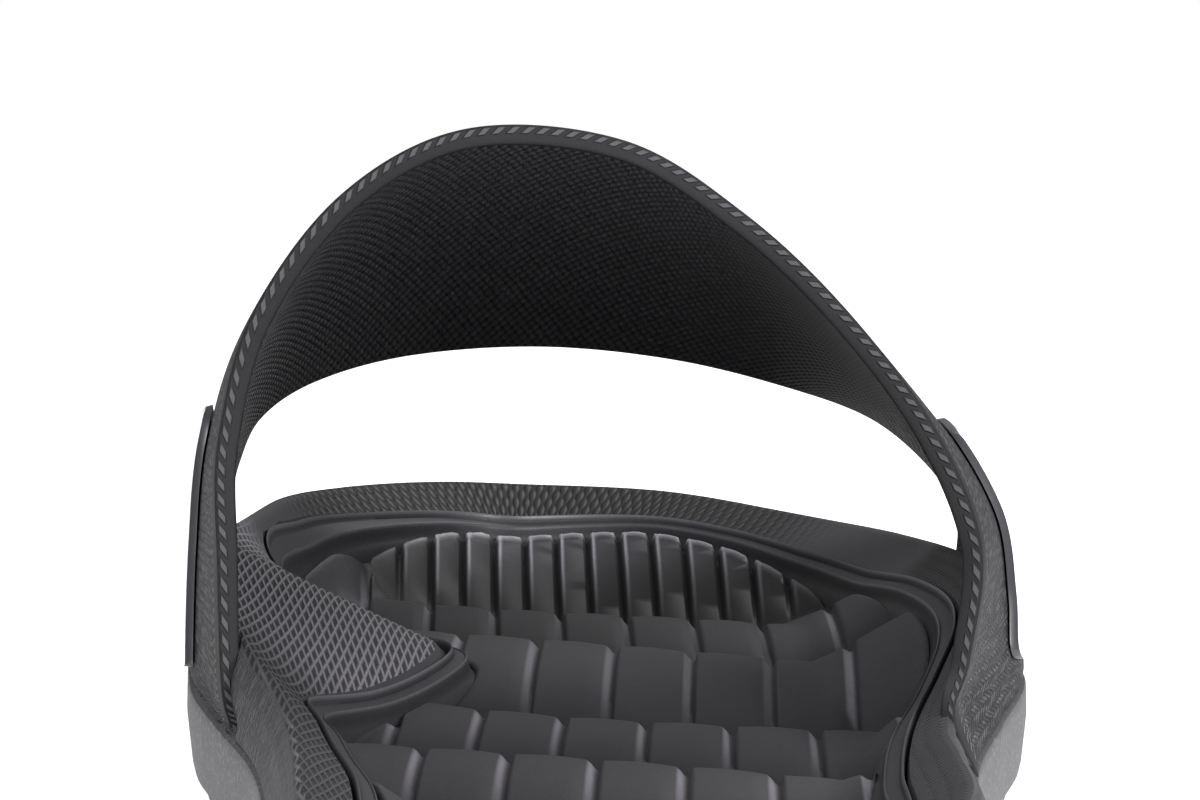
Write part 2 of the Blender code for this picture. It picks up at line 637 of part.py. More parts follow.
def make_panel(panel):
    """A thin moulded plate with rounded ends, laid on the strap's outer face."""
    shape = bmesh.new()
    rows, columns = PANEL_ROWS, PANEL_COLUMNS
    faces = []
    for lift in (SEAT, SEAT + PANEL_THICKNESS):
        grid = []
        for row in range(rows + 1):
            share = row / rows
            place = panel.low_band + (panel.high_band - panel.low_band) * share
            back = panel.low_back + (panel.high_back - panel.low_back) * share
            front = panel.low_front + (panel.high_front - panel.low_front) * share
            narrowed = PANEL_ENDS.get(min(row, rows - row), 1.0)
            line = []
            for part in range(columns + 1):
                depth = (back + front) / 2 + (front - back) * narrowed * (part / columns - 0.5)
                point = strap_point(place, depth) + strap_normal(place, depth) * lift
                line.append(shape.verts.new(point))
            grid.append(line)
        for near, far in zip(grid, grid[1:]):
            for part in range(columns):
                shape.faces.new((near[part], near[part + 1], far[part + 1], far[part]))
        faces.append(grid)
    rims = []
    for grid in faces:
        first_side = [line[0] for line in grid[1:-1]]
        last_side = [line[-1] for line in grid[1:-1]]
        rims.append(grid[0] + last_side + grid[-1][::-1] + first_side[::-1])
    bridge(shape, rims[0], rims[1])
    return new_object(panel.node, shape, (0.42, 0.42, 0.45), 0.22)


def cut_seat(piece, cutter):
    seat = piece.modifiers.new("strap seat", "BOOLEAN")
    seat.operation = "DIFFERENCE"
    seat.solver = "EXACT"
    seat.object = cutter


def main():
    for leftover in list(bpy.data.objects):
        bpy.data.objects.remove(leftover)
    sandal = collection_named("slide_sandal")
    cutters = collection_named("cutters")
    pocket = make_strap_pocket()
    cutters.objects.link(pocket)
    midsole = make_midsole()
    cut_seat(midsole, pocket)
    pieces = [make_outsole(), midsole, make_footbed(), make_strap()]
    pieces += [make_panel(panel) for panel in PANELS]
    for piece in pieces:
        sandal.objects.link(piece)


main()
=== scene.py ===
"""Dresses the slide sandal's frame with its cup, footbed, strap, side plates and tread, and sets the stage.

Metres, +Z up. The toe points to +Y and the big toe is on the -X side, as in the frame. Each piece is a grid that a
bmesh operator makes and that is then laid on the same curves as the solids.
"""

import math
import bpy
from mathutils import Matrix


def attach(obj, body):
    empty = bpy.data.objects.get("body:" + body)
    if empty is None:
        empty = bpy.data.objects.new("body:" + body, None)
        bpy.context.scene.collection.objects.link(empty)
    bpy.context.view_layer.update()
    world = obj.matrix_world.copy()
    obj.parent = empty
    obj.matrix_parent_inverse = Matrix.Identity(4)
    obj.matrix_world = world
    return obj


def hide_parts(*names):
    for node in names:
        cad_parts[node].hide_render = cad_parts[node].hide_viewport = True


bl_info = {
    "name": "Slide Sandal Pieces",
    "version": (1, 0, 0),
    "blender": (4, 5, 0),
    "location": "3D View > Sidebar > Sandal",
    "description": "Builds the finished pieces of a sport slide sandal over its frame",
    "category": "Object",
}

from collections import namedtuple
from contextlib import contextmanager

import bmesh
import bpy
import numpy as np
from mathutils import Vector

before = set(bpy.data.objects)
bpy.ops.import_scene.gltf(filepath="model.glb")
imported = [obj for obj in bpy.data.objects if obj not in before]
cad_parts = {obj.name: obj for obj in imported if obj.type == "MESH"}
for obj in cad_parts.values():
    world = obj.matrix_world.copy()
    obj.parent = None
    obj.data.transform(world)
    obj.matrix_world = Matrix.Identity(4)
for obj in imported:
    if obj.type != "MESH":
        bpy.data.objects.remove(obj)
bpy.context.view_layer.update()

MM = 0.001
WELD = 1e-6
LENGTH = 0.290
WIDTH = 0.1140
SOLE_HEIGHT = 0.042
STRAP_TOP = 0.1035

# Underside
TOE_SPRING = 0.0075
HEEL_BEVEL = 0.003
ARCH_LIFT = 0.002
TOE_SPRING_START = 0.30
HEEL_BEVEL_START = -0.41
ARCH_START = -0.215
ARCH_END = 0.095
OUTSOLE_THICKNESS = 0.004

# Cup and footbed
RIDGE_INSET = 0.0045
BED_THICKNESS = 0.0085
BEAD_WIDTH = 0.0027
BEAD_CHANNEL = 0.0009
RIB_PITCH = 0.00485
PAD_PITCH = 0.0110
GROOVE_WALL = 0.00056
GROOVE_DEPTH = 0.0013
ROW_RISE = 0.0030
ROW_FACE = 0.010
ROW_SLANT = math.radians(27)
RIB_SLOPE = 0.026
PAD_EDGE = 0.0006
PAD_ROUND = 0.0005
PAD_CROWN = 0.00025
PAD_CROWN_START = 0.0015
RIB_CROWN = 0.0002
RIB_CROWN_START = 0.0016
RIB_LIP_WIDTH = 0.0006
END_LIP_INSET = 0.0007
END_LIP_WIDTH = 0.0004

# The footbed's grid. Its rings and columns are in millimetres, and its end is a share of the length.
BED_RINGS = (0.0, 0.35, 0.7, 1.1, 1.6)
BED_COLUMN = 1.9
BED_END = 0.62
BED_STEP = 0.0016
GROOVE_BEVEL_PLACES = (0.0, 0.28, 0.64, 0.96)
GROOVE_WALL_PLACES = (0.10, 0.35, 0.56, 0.85, 1.3)

# Seats. The cup's loops of these numbers are tucked into the strap's wall where they meet it.
SEAT = 0.0003
STRAP_INSET = 0.0004
TUCKED_LOOPS = range(12, 32)
TUCK_DEPTH = 0.45
TUCK_BESIDE = 0.0012
TUCK_REACH = 0.006

# Grids of the contour, the strap and the plates, and the strap's pattern in millimetres over its face and its edge
AROUND = 16
STRAP_STEPS = 20
STRAP_DEPTH_STEPS = 56
STRAP_EDGE_STEPS = 10
STRAP_FACE_PATTERN = 66
STRAP_EDGE_PATTERN = 3.0
PLATE_COLUMNS = 56
PLATE_ROWS = 72
PLATE_ROUND = 0.10

Section = namedtuple(
    "Section",
    "place medial_across medial_along lateral_across lateral_along medial_ridge lateral_ridge seam bed"
    " medial_flank lateral_flank medial_reach lateral_reach",
)
SECTIONS = [
    Section("heel tip", 0.008, -0.500, 0.008, -0.500, 0.905, 0.905, 0.643, 0.690, 0.132, 0.132, 0.193, 0.193),
    Section("heel round", -0.180, -0.483, 0.193, -0.483, 0.919, 0.919, 0.652, 0.698, 0.132, 0.132, 0.193, 0.193),
    Section("heel side", -0.294, -0.434, 0.307, -0.434, 0.952, 0.952, 0.695, 0.733, 0.132, 0.132, 0.193, 0.193),
    Section("heel seat", -0.346, -0.359, 0.360, -0.359, 0.940, 0.940, 0.690, 0.738, 0.123, 0.123, 0.175, 0.175),
    Section("shank back", -0.362, -0.259, 0.371, -0.259, 0.905, 0.893, 0.681, 0.710, 0.118, 0.118, 0.158, 0.158),
    Section("waist", -0.386, -0.155, 0.386, -0.158, 0.867, 0.824, 0.667, 0.667, 0.105, 0.105, 0.132, 0.140),
    Section("arch", -0.439, -0.062, 0.436, -0.068, 0.881, 0.881, 0.643, 0.595, 0.137, 0.105, 0.150, 0.140),
    Section("instep", -0.479, 0.021, 0.483, 0.014, 0.952, 0.936, 0.662, 0.562, 0.246, 0.110, 0.255, 0.193),
    Section("wide back", -0.497, 0.131, 0.497, 0.076, 1.000, 0.964, 0.681, 0.595, 0.345, 0.114, 0.350, 0.228),
    Section("wide front", -0.496, 0.186, 0.487, 0.159, 0.983, 0.936, 0.671, 0.600, 0.240, 0.123, 0.255, 0.228),
    Section("ball", -0.482, 0.269, 0.454, 0.255, 0.940, 0.876, 0.657, 0.576, 0.096, 0.132, 0.123, 0.200),
    Section("toes", -0.442, 0.359, 0.390, 0.334, 0.902, 0.833, 0.633, 0.533, 0.090, 0.136, 0.130, 0.240),
    Section("toe side", -0.364, 0.428, 0.276, 0.412, 0.817, 0.767, 0.569, 0.531, 0.114, 0.136, 0.188, 0.320),
    Section("toe round", -0.232, 0.484, 0.127, 0.474, 0.712, 0.700, 0.507, 0.524, 0.131, 0.136, 0.192, 0.260),
    Section("toe tip", -0.075, 0.500, -0.075, 0.500, 0.664, 0.664, 0.471, 0.500, 0.136, 0.136, 0.180, 0.180),
]

Band = namedtuple(
    "Band", "place back_across back_along back_up mid_across mid_along mid_up front_across front_along front_up wall"
)
BANDS = [
    Band("medial seam", -0.430, -0.093, 0.020, -0.493, 0.059, 0.020, -0.486, 0.241, 0.020, 0.80),
    Band("medial foot", -0.439, -0.069, 0.067, -0.494, 0.083, 0.070, -0.488, 0.234, 0.083, 0.90),
    Band("medial low", -0.440, -0.041, 0.269, -0.484, 0.093, 0.230, -0.482, 0.228, 0.190, 1.00),
    Band("medial side", -0.437, -0.022, 0.458, -0.466, 0.100, 0.398, -0.467, 0.222, 0.297, 1.00),
    Band("medial high", -0.399, -0.009, 0.672, -0.430, 0.107, 0.549, -0.434, 0.219, 0.397, 1.00),
    Band("medial shoulder", -0.298, -0.001, 0.877, -0.341, 0.111, 0.700, -0.360, 0.219, 0.472, 1.00),
    Band("medial crown", -0.158, 0.000, 0.988, -0.203, 0.115, 0.785, -0.237, 0.222, 0.522, 1.00),
    Band("crown", 0.018, 0.000, 0.968, -0.026, 0.117, 0.783, -0.070, 0.225, 0.538, 1.00),
    Band("lateral crown", 0.154, -0.002, 0.843, 0.133, 0.114, 0.707, 0.096, 0.224, 0.515, 1.00),
    Band("lateral shoulder", 0.268, -0.011, 0.680, 0.268, 0.107, 0.598, 0.241, 0.221, 0.464, 1.00),
    Band("lateral high", 0.364, -0.029, 0.485, 0.386, 0.095, 0.447, 0.355, 0.219, 0.401, 1.00),
    Band("lateral side", 0.411, -0.059, 0.298, 0.454, 0.079, 0.311, 0.434, 0.219, 0.303, 1.00),
    Band("lateral low", 0.384, -0.112, 0.142, 0.482, 0.059, 0.183, 0.474, 0.226, 0.197, 0.85),
    Band("lateral foot", 0.356, -0.155, 0.088, 0.493, 0.048, 0.083, 0.476, 0.234, 0.097, 0.62),
    Band("lateral seam", 0.372, -0.188, 0.020, 0.493, 0.034, 0.020, 0.463, 0.241, 0.020, 0.62),
]

PadRow = namedtuple("PadRow", "name front back pitch shift tilt bevel")
PAD_ROWS = [
    PadRow("toe ribs", 0.70, 0.324, RIB_PITCH, -0.10, 0.0, 0.0008),
    PadRow("toe pads", 0.324, 0.214, 2 * RIB_PITCH, 0.42, 0.0, 0.0013),
    PadRow("ball pads", 0.214, 0.042, PAD_PITCH, -0.14, math.radians(3), 0.0016),
    PadRow("instep pads", 0.042, -0.103, PAD_PITCH, 0.36, math.radians(3), 0.0016),
    PadRow("arch pads", -0.103, -0.238, PAD_PITCH, -0.14, math.radians(3), 0.0016),
    PadRow("heel pads", -0.238, -0.365, PAD_PITCH, 0.36, math.radians(3), 0.0016),
    PadRow("back pads", -0.365, -0.70, PAD_PITCH, -0.14, math.radians(3), 0.0016),
]

# The cup's section from its bottom edge over the side, shoulder and ridge to the footbed's pocket. Zone says which
# stretch a row's share counts on, and inset, lift and share place it there. Steps is how many faces lead to it.
Row = namedtuple("Row", "place zone inset share lift steps material", defaults=(0.0, 1, 0))
CUP_ROWS = [
    Row("bottom edge", "side", 0.0046, 0.00),
    Row("bottom round", "side", 0.0042, 0.04),
    Row("lower side", "side", 0.0034, 0.25, steps=3),
    Row("under step", "side", 0.0018, 0.455, steps=4),
    Row("step", "side", 0.0015, 0.475),
    Row("step top", "side", 0.0009, 0.495),
    Row("upper side low", "side", 0.0006, 0.55),
    Row("upper side", "side", 0.0000, 0.80, steps=4),
    Row("seam lip", "side", 0.0001, 0.955, steps=3),
    Row("seam round", "side", 0.0003, 0.975),
    Row("seam floor", "side", 0.0012, 0.985),
    Row("seam top", "side", 0.0012, 1.000, material=1),
    Row("shoulder foot", "shoulder", 0.0006, 0.03, material=1),
    Row("shoulder low", "shoulder", 0.0009, 0.18, steps=2, material=1),
    Row("shoulder", "shoulder", 0.0021, 0.62, steps=5, material=1),
    Row("ridge side", "shoulder", 0.0034, 0.92, steps=4, material=1),
    Row("ridge", "shoulder", 0.0041, 0.985, steps=2, material=2),
    Row("ridge inside", "slope", 0.0050, 0.00, steps=2, material=2),
    Row("slope", "slope", 0.0060, 0.00, steps=2, material=2),
    Row("slope end", "slope", 0.0000, 0.95, steps=22, material=2),
    Row("bead groove", "slope", 0.0000, 0.975, -0.0006, material=3),
    Row("pocket lip", "slope", 0.0000, 1.00, -0.0008, material=3),
]

# The insert's bead in section, from the cup inwards. Over bead and over channel are shares of their widths, and edge is
# how much painted highlight a row gets on the welt and the lip.
BeadRow = namedtuple("BeadRow", "place over_bead over_channel rise edge", defaults=(0.0,))
BEAD_ROWS = [
    BeadRow("outer foot", 0.00, 0.0, -0.0012),
    BeadRow("outer side", 0.02, 0.0, 0.0000),
    BeadRow("welt side", 0.05, 0.0, 0.0006, 0.6),
    BeadRow("welt", 0.09, 0.0, 0.0008, 1.0),
    BeadRow("welt crest", 0.14, 0.0, 0.0007, 1.0),
    BeadRow("welt inside", 0.18, 0.0, 0.0003, 0.2),
    BeadRow("welt dip", 0.22, 0.0, -0.0001),
    BeadRow("ledge", 0.30, 0.0, 0.0000, 0.1),
    BeadRow("ledge middle", 0.55, 0.0, 0.0001, 0.15),
    BeadRow("ledge inside", 0.78, 0.0, 0.0002, 0.15),
    BeadRow("lip side", 0.83, 0.0, 0.0005, 0.5),
    BeadRow("lip", 0.88, 0.0, 0.0005, 0.7),
    BeadRow("lip inside", 0.93, 0.0, 0.0001, 0.1),
    BeadRow("inner side", 0.98, 0.0, -0.0005),
    BeadRow("channel side", 1.00, 0.10, -0.0010),
    BeadRow("channel", 1.00, 0.5, -0.0015),
    BeadRow("channel end", 1.00, 1.4, -0.0016),
]

# Soft steps from none to full of the rim's textures, in millimetres walked round the contour from the heel tip. The
# toe's texture rises over its first two places and falls over the last two.
RIM_TOE = (266.0, 292.0, 414.0, 388.0)
RIM_HUMP = (256.0, 232.0)
RIM_BACK = (180.0, 145.0)
RIM_LATERAL = (442.0, 470.0)
THREAD_SKEW = 0.034

Plate = namedtuple("Plate", "name node low_band high_band low_back low_front high_back high_front")
PLATES = [
    Plate("plate_medial", "side_panel_medial", 0.45, 3.35, 0.30, 0.70, 0.30, 0.66),
    Plate("plate_lateral", "side_panel_lateral", 13.45, 10.15, 0.36, 0.72, 0.30, 0.64),
]

# The stage: lamps in metres and watts, the share of the world's white that lights the shoe, and the camera
Lamp = namedtuple("Lamp", "name place target size watts")
LAMPS = [
    Lamp("key", (0.50, 0.60, 1.15), (0.0, 0.06, 0.04), 0.9, 12),
    Lamp("side", (0.62, -0.85, 0.55), (0.0, 0.03, 0.04), 0.4, 25),
    Lamp("fill", (-0.42, -0.88, 0.85), (0.0, 0.0, 0.05), 0.6, 25),
]
WORLD_LIGHT = 0.28
FLOOR_COLOUR = (0.97, 0.97, 0.98)
CAMERA_PLACE = (-0.0162, -0.605, 0.1526)
CAMERA_TURN = math.radians(1.45)
CAMERA_DIP = math.radians(8.0)
CAMERA_LENS = 142.2


def length(name, description, default):
    return bpy.props.FloatProperty(name=name, description=description, default=default, unit="LENGTH")


def colour(name, description, *default):
    return bpy.props.FloatVectorProperty(name=name, description=description, default=default, subtype="COLOR")


class SandalSizes(bpy.types.PropertyGroup):
    """Sizes that a user would change"""

    strap_wall: length("Strap wall", "Thickness of the strap", 0.0027)
    edge_crown: length("Edge crown", "How far the strap's edges bulge", 0.0005)
    plate_thickness: length("Plate thickness", "Thickness of the side plates", 0.0013)
    plate_border: bpy.props.FloatProperty(
        name="Plate border", description="Share of a plate that its dark border takes", default=0.05, subtype="FACTOR"
    )
    rib_lip: length("Rib lip", "Height of the thin lip round each toe rib", 0.00028)


class SandalColours(bpy.types.PropertyGroup):
    """Base colours of the finishes"""

    cup: colour("Cup", "Moulded foam of the cup's side", 0.050, 0.048, 0.052)
    rim: colour("Rim", "Textured rim and shoulder", 0.026, 0.025, 0.028)
    bed: colour("Bed", "Pads and ribs of the footbed", 0.024, 0.023, 0.026)
    textile: colour("Textile", "Outside of the strap", 0.020, 0.019, 0.021)
    lining: colour("Lining", "Inside of the strap", 0.038, 0.0365, 0.040)
    plate: colour("Plate", "Glossy side plates", 0.62, 0.62, 0.65)
    tread: colour("Tread", "Rubber of the outsole", 0.012, 0.012, 0.013)


# Curves of the sole


def curve_through(rows, places):
    """Catmull-Rom through rows (first axis) at each of the places, counted in rows and held at both ends."""
    rows = np.asarray(rows, float)
    last = len(rows) - 1
    padded = np.concatenate([2 * rows[:1] - rows[1:2], rows, 2 * rows[last:] - rows[last - 1 : last]])
    places = np.asarray(places, float)
    step = np.clip(np.floor(places).astype(int), 0, last - 1)
    share = (places - step).reshape(places.shape + (1,) * (rows.ndim - 1))
    before, start, end, after = (padded[step + offset] for offset in range(4))
    bend = 2 * before - 5 * start + 4 * end - after
    twist = 3 * (start - end) + after - before
    return start + 0.5 * share * (end - before + share * (bend + share * twist))


def eased(share):
    share = np.clip(share, 0.0, 1.0)
    return share * share * (3 - 2 * share)


def underside(along):
    """Height of the tread's faces over the floor, which is zero under the ball and the heel."""
    share = along / LENGTH
    toe = np.maximum(0.0, (share - TOE_SPRING_START) / (0.5 - TOE_SPRING_START))
    heel = np.maximum(0.0, (HEEL_BEVEL_START - share) / (0.5 + HEEL_BEVEL_START))
    arch = np.clip((share - ARCH_START) / (ARCH_END - ARCH_START), 0.0, 1.0)
    return TOE_SPRING * toe**2 + HEEL_BEVEL * heel**2 + ARCH_LIFT * np.sin(math.pi * arch) ** 2


def column(table, *names):
    return np.array([[getattr(row, name) for name in names] for row in table], float)


class Contour:
    """The sole's widest outline as a closed loop: heel tip, medial side, toe tip, lateral side."""

    def __init__(self, steps_a_row):
        medial = column(SECTIONS, "medial_across", "medial_along", "medial_ridge", "medial_flank", "medial_reach")
        lateral = column(SECTIONS, "lateral_across", "lateral_along", "lateral_ridge", "lateral_flank", "lateral_reach")
        both = column(SECTIONS, "seam", "bed")
        first = np.hstack([medial, both])
        second = np.hstack([lateral, both])[-2:0:-1]
        loop = np.vstack([first, second])
        wrapped = np.vstack([loop[-2:], loop, loop[:3]])
        self.toe = (len(SECTIONS) - 1) * steps_a_row
        self.count = 2 * self.toe
        values = curve_through(wrapped, 2 + np.arange(self.count) / steps_a_row)
        self.plan = values[:, :2] * (WIDTH, LENGTH)
        self.ridge, self.flank, self.reach, self.seam, self.bed = values[:, 2:].T
        ahead = np.roll(self.plan, -1, axis=0) - np.roll(self.plan, 1, axis=0)
        ahead /= np.linalg.norm(ahead, axis=1)[:, None]
        self.inward = np.stack([ahead[:, 1], -ahead[:, 0]], axis=1)
        steps = np.linalg.norm(np.roll(self.plan, -1, axis=0) - self.plan, axis=1)
        self.walked = np.concatenate([[0.0], np.cumsum(steps)])

    def inset(self, amount):
        return self.plan + self.inward * np.broadcast_to(amount, self.count)[:, None]


OUTLINE = Contour(AROUND)
FINE_OUTLINE = Contour(2 * AROUND)
CENTRE_ALONG = (column(SECTIONS, "medial_along") + column(SECTIONS, "lateral_along"))[:, 0] / 2 * LENGTH
MIDDLE_ROWS = column(SECTIONS, "seam", "bed")
BAND_ROWS = np.array([row[1:] for row in BANDS])
LAST_BAND = len(BANDS) - 1
INSERT_EDGE = OUTLINE.flank * WIDTH - BEAD_WIDTH - BEAD_CHANNEL


def middle_heights(along):
    """Heights of the seam and of the bed's middle at places along the foot, as columns."""
    along = np.asarray(along, float)
    place = np.interp(along, CENTRE_ALONG, range(len(SECTIONS)))
    return underside(along)[..., None] + curve_through(MIDDLE_ROWS, place) * SOLE_HEIGHT


def slope_height(distance, ridge, reach, along):
    """Height of the rim's inner slope, falling evenly from the ridge to the bed at the reach."""
    ridge_height = underside(along) + ridge * SOLE_HEIGHT
    middle = middle_heights(along)[..., 1]
    share = np.clip((distance - RIDGE_INSET) / (reach * WIDTH - RIDGE_INSET), 0.0, 1.0)
    return middle + (ridge_height - middle) * (1 - share)


def nearest_on_contour(across, along):
    """(distances in from the contour, indexes of the nearest points of the fine outline)"""
    distances = np.empty(len(across))
    indexes = np.empty(len(across), int)
    for start in range(0, len(across), 4000):
        part = slice(start, start + 4000)
        offsets = FINE_OUTLINE.plan[None] - np.stack([across[part], along[part]], axis=1)[:, None]
        index = np.argmin(np.einsum("ijk,ijk->ij", offsets, offsets), axis=1)
        chosen = offsets[np.arange(len(index)), index]
        distances[part] = np.abs(np.einsum("ij,ij->i", chosen, FINE_OUTLINE.inward[index]))
        indexes[part] = index
    return distances, indexes


# Relief of the footbed


def row_fall(share, row):
    """How far the bed has fallen from its crest towards the valley beside it."""
    if row is PAD_ROWS[0]:
        return (1 - np.minimum((share - row.back) * LENGTH / RIB_SLOPE, 1.0)) ** 2
    crest = row.front - ROW_FACE / LENGTH
    front = ((share - crest) * LENGTH / ROW_FACE) ** 2
    back = ((crest - share) / (crest - row.back)) ** 2
    return np.where(share > crest, front, back)


def groove_shape(place, bevel):
    """Depth share of the groove: a bevel with a soft shoulder, then a steep wall."""
    slope = eased(place / bevel) ** 0.8
    wall = 1 - eased((place - bevel) / (GROOVE_WALL))
    return np.where(place < bevel, slope, wall)


def crown(place, start, pitch, height):
    """A low bulge between a groove and the next."""
    return height * np.sin(np.pi * np.clip((place - start) / (pitch - start), 0, 1))


def bed_heights(across, along, lip):
    """Heights of the pads and ribs, how much painted highlight each place gets on its thin lips and bevels, and how
    much painted shade it gets down in a valley.
    """
    distance, index = nearest_on_contour(across, along)
    ridge, reach, flank = FINE_OUTLINE.ridge[index], FINE_OUTLINE.reach[index], FINE_OUTLINE.flank[index]
    height = slope_height(distance, ridge, reach, along)
    share = (along + across * math.tan(ROW_SLANT)) / LENGTH
    inside = distance - flank * WIDTH - SEAT
    end = 1 - np.clip(inside / PAD_EDGE, 0.0, 1.0)
    marks = np.zeros(len(across))
    falls = np.zeros(len(across))
    for row in PAD_ROWS:
        here = share > row.back
        here &= share <= row.front
        place = (across[here] - along[here] * math.tan(row.tilt) - row.shift * row.pitch) % row.pitch
        fall = row_fall(share[here], row)
        groove = groove_shape(place, row.bevel)
        relief = -ROW_RISE * fall - GROOVE_DEPTH * groove * (1 - fall**3)
        if row is PAD_ROWS[0]:
            beside = (place - row.bevel - GROOVE_WALL) / RIB_LIP_WIDTH
            side_lip = np.exp(-((beside - 0.5) ** 2) * 9)
            end_lip = np.exp(-(((inside[here] - END_LIP_INSET) / END_LIP_WIDTH) ** 2)) * (1 - groove)
            # Each rib lip is raised by the rib lip height and also gets a painted highlight that fades down the slope.
            # The ribs are a quarter darker all over, with painted shade down towards the valley and into the groove.
            edge = np.minimum(side_lip + end_lip, 1.0) * (1 - fall) ** 1.3
            dark = 0.25 + 0.8 * np.sqrt(fall) + 0.7 * groove
            bulge = crown(place, RIB_CROWN_START, row.pitch, RIB_CROWN)
            relief += lip * edge + bulge * (1 - groove) * (1 - fall)
        else:
            relief += crown(place, PAD_CROWN_START, row.pitch, PAD_CROWN) * (1 - fall)
            # A painted highlight along each bevel, fading down the slope, and painted shade down towards the valley and
            # on the groove's steep wall.
            edge = 0.55 * np.sin(np.pi * np.clip(place / (row.bevel * 0.95), 0, 1)) * (1 - fall) ** 1.5
            dark = fall + 0.6 * (place > row.bevel * 0.97) * groove
        height[here] += relief
        marks[here] = edge
        falls[here] = np.clip(dark, 0, 1)
    return height - PAD_ROUND * end**2, marks, falls


# The strap's surface


def contour_across(along, side):
    """How far out the sole's contour lies at places along the foot, on the side of the given sign."""
    half = FINE_OUTLINE.toe
    medial = FINE_OUTLINE.plan[: half + 1]
    lateral = np.roll(FINE_OUTLINE.plan, -1, axis=0)[half - 1 :][::-1]
    out_medial = np.interp(along, medial[:, 1], medial[:, 0])
    out_lateral = np.interp(along, lateral[:, 1], lateral[:, 0])
    return np.where(side < 0, out_medial, out_lateral)


def band_points(place, depth):
    """The strap's outer face as its bands give it, in shares, with the wall's share last."""
    values = curve_through(BAND_ROWS, place)
    back, mid, front, wall = values[:, 0:3], values[:, 3:6], values[:, 6:9], values[:, 9]
    depth = depth[:, None]
    share = back * (1 - depth) * (1 - 2 * depth) + mid * 4 * depth * (1 - depth) + front * depth * (2 * depth - 1)
    return share[:, 0] * WIDTH, share[:, 1] * LENGTH, share[:, 2], wall


def strap_points(place, depth):
    """The strap's outer face. Its first and last bands are drawn onto the sole's contour."""
    across, along, up, _ = band_points(place, depth)
    side = np.where(place < LAST_BAND / 2, -1.0, 1.0)
    seam_place = np.where(side < 0, 0.0, float(LAST_BAND))
    seam_across, seam_along, _, _ = band_points(seam_place, depth)
    miss = contour_across(seam_along, side) - side * STRAP_INSET - seam_across
    fade = 1 - eased(np.abs(place - seam_place) / 3.0)
    seam = middle_heights(along)[:, 0]
    return np.stack([across + miss * fade, along, seam + up * (STRAP_TOP - seam)], axis=1)


def contour_out(along, side):
    step = 0.004
    turn = (contour_across(along + step, side) - contour_across(along - step, side)) / (2 * step)
    out = np.stack([side, -turn * side, np.zeros_like(side)], axis=1)
    return out / np.linalg.norm(out, axis=1)[:, None]


def strap_normals(place, depth):
    """Directions out of the strap's outer face, level beside the sole."""
    step = 0.02
    side = np.where(place < LAST_BAND / 2, -1.0, 1.0)
    level = 1 - eased(np.minimum(place, LAST_BAND - place) / 1.5)[:, None]
    low, high = np.maximum(place - step, 0), np.minimum(place + step, LAST_BAND)
    near, far = np.maximum(depth - step, 0), np.minimum(depth + step, 1)
    over = strap_points(high, depth) - strap_points(low, depth)
    forward = strap_points(place, far) - strap_points(place, near)
    normal = np.cross(over, forward)
    normal /= np.linalg.norm(normal, axis=1)[:, None]
    normal = normal * (1 - level) + contour_out(strap_points(place, depth)[:, 1], side) * level
    return normal / np.linalg.norm(normal, axis=1)[:, None]


def strap_foot(strap_wall):
    """Points, normals and walls over the lower bands of the strap's outer face on both sides."""
    low = np.linspace(0, 3, 90)
    bands = np.concatenate([low, LAST_BAND - low])
    place, depth = [grid.ravel() for grid in np.meshgrid(bands, np.linspace(0, 1, 90))]
    return strap_points(place, depth), strap_normals(place, depth), strap_wall * band_points(place, depth)[3]


# Meshes


@contextmanager
def reshaping(mesh):
    """Hands out a mesh's shape to be changed, and puts it back."""
    shape = bmesh.new()
    shape.from_mesh(mesh)
    yield shape
    shape.to_mesh(mesh)
    shape.free()


def laid_grid(name, columns, rows, place):
    """A grid laid on a surface. place(across, up) takes the grid's places, both counted in steps, and returns the
    points, the pattern's coordinates in millimetres and how much painted highlight each point gets as a thin lip.
    """
    mesh = bpy.data.meshes.new(name)
    with reshaping(mesh) as shape:
        bmesh.ops.create_grid(shape, x_segments=columns, y_segments=rows, size=0.5)
    flat = np.empty(len(mesh.vertices) * 3)
    mesh.vertices.foreach_get("co", flat)
    flat = flat.reshape(-1, 3)[:, :2] + 0.5
    across = np.rint(flat[:, 0] * columns).astype(int)
    up = np.rint(flat[:, 1] * rows).astype(int)
    points, pattern, marks = place(across, up)
    mesh.vertices.foreach_set("co", points.ravel())
    # The Edge attribute carries the painted highlight that the foam finishes read.
    mesh.attributes.new("Edge", "FLOAT", "POINT").data.foreach_set("value", marks)
    corners = np.empty(len(mesh.loops), int)
    mesh.loops.foreach_get("vertex_index", corners)
    mesh.uv_layers.new(name="Pattern").data.foreach_set("uv", pattern[corners].ravel())
    mesh.update()
    return mesh


def finish_piece(name, mesh, materials, nodes, sharp=40):
    """Merges the mesh's seams, turns its faces out, and makes it a piece that stands for the given nodes."""
    with reshaping(mesh) as shape:
        bmesh.ops.remove_doubles(shape, verts=shape.verts, dist=WELD)
        bmesh.ops.recalc_face_normals(shape, faces=shape.faces)
    for material in materials:
        mesh.materials.append(material)
    mesh.shade_smooth()
    mesh.set_sharp_from_angle(angle=math.radians(sharp))
    piece = bpy.data.objects.new(name, mesh)
    bpy.context.scene.collection.objects.link(piece)
    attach(piece, "root")
    if nodes:
        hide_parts(*nodes)
    return piece


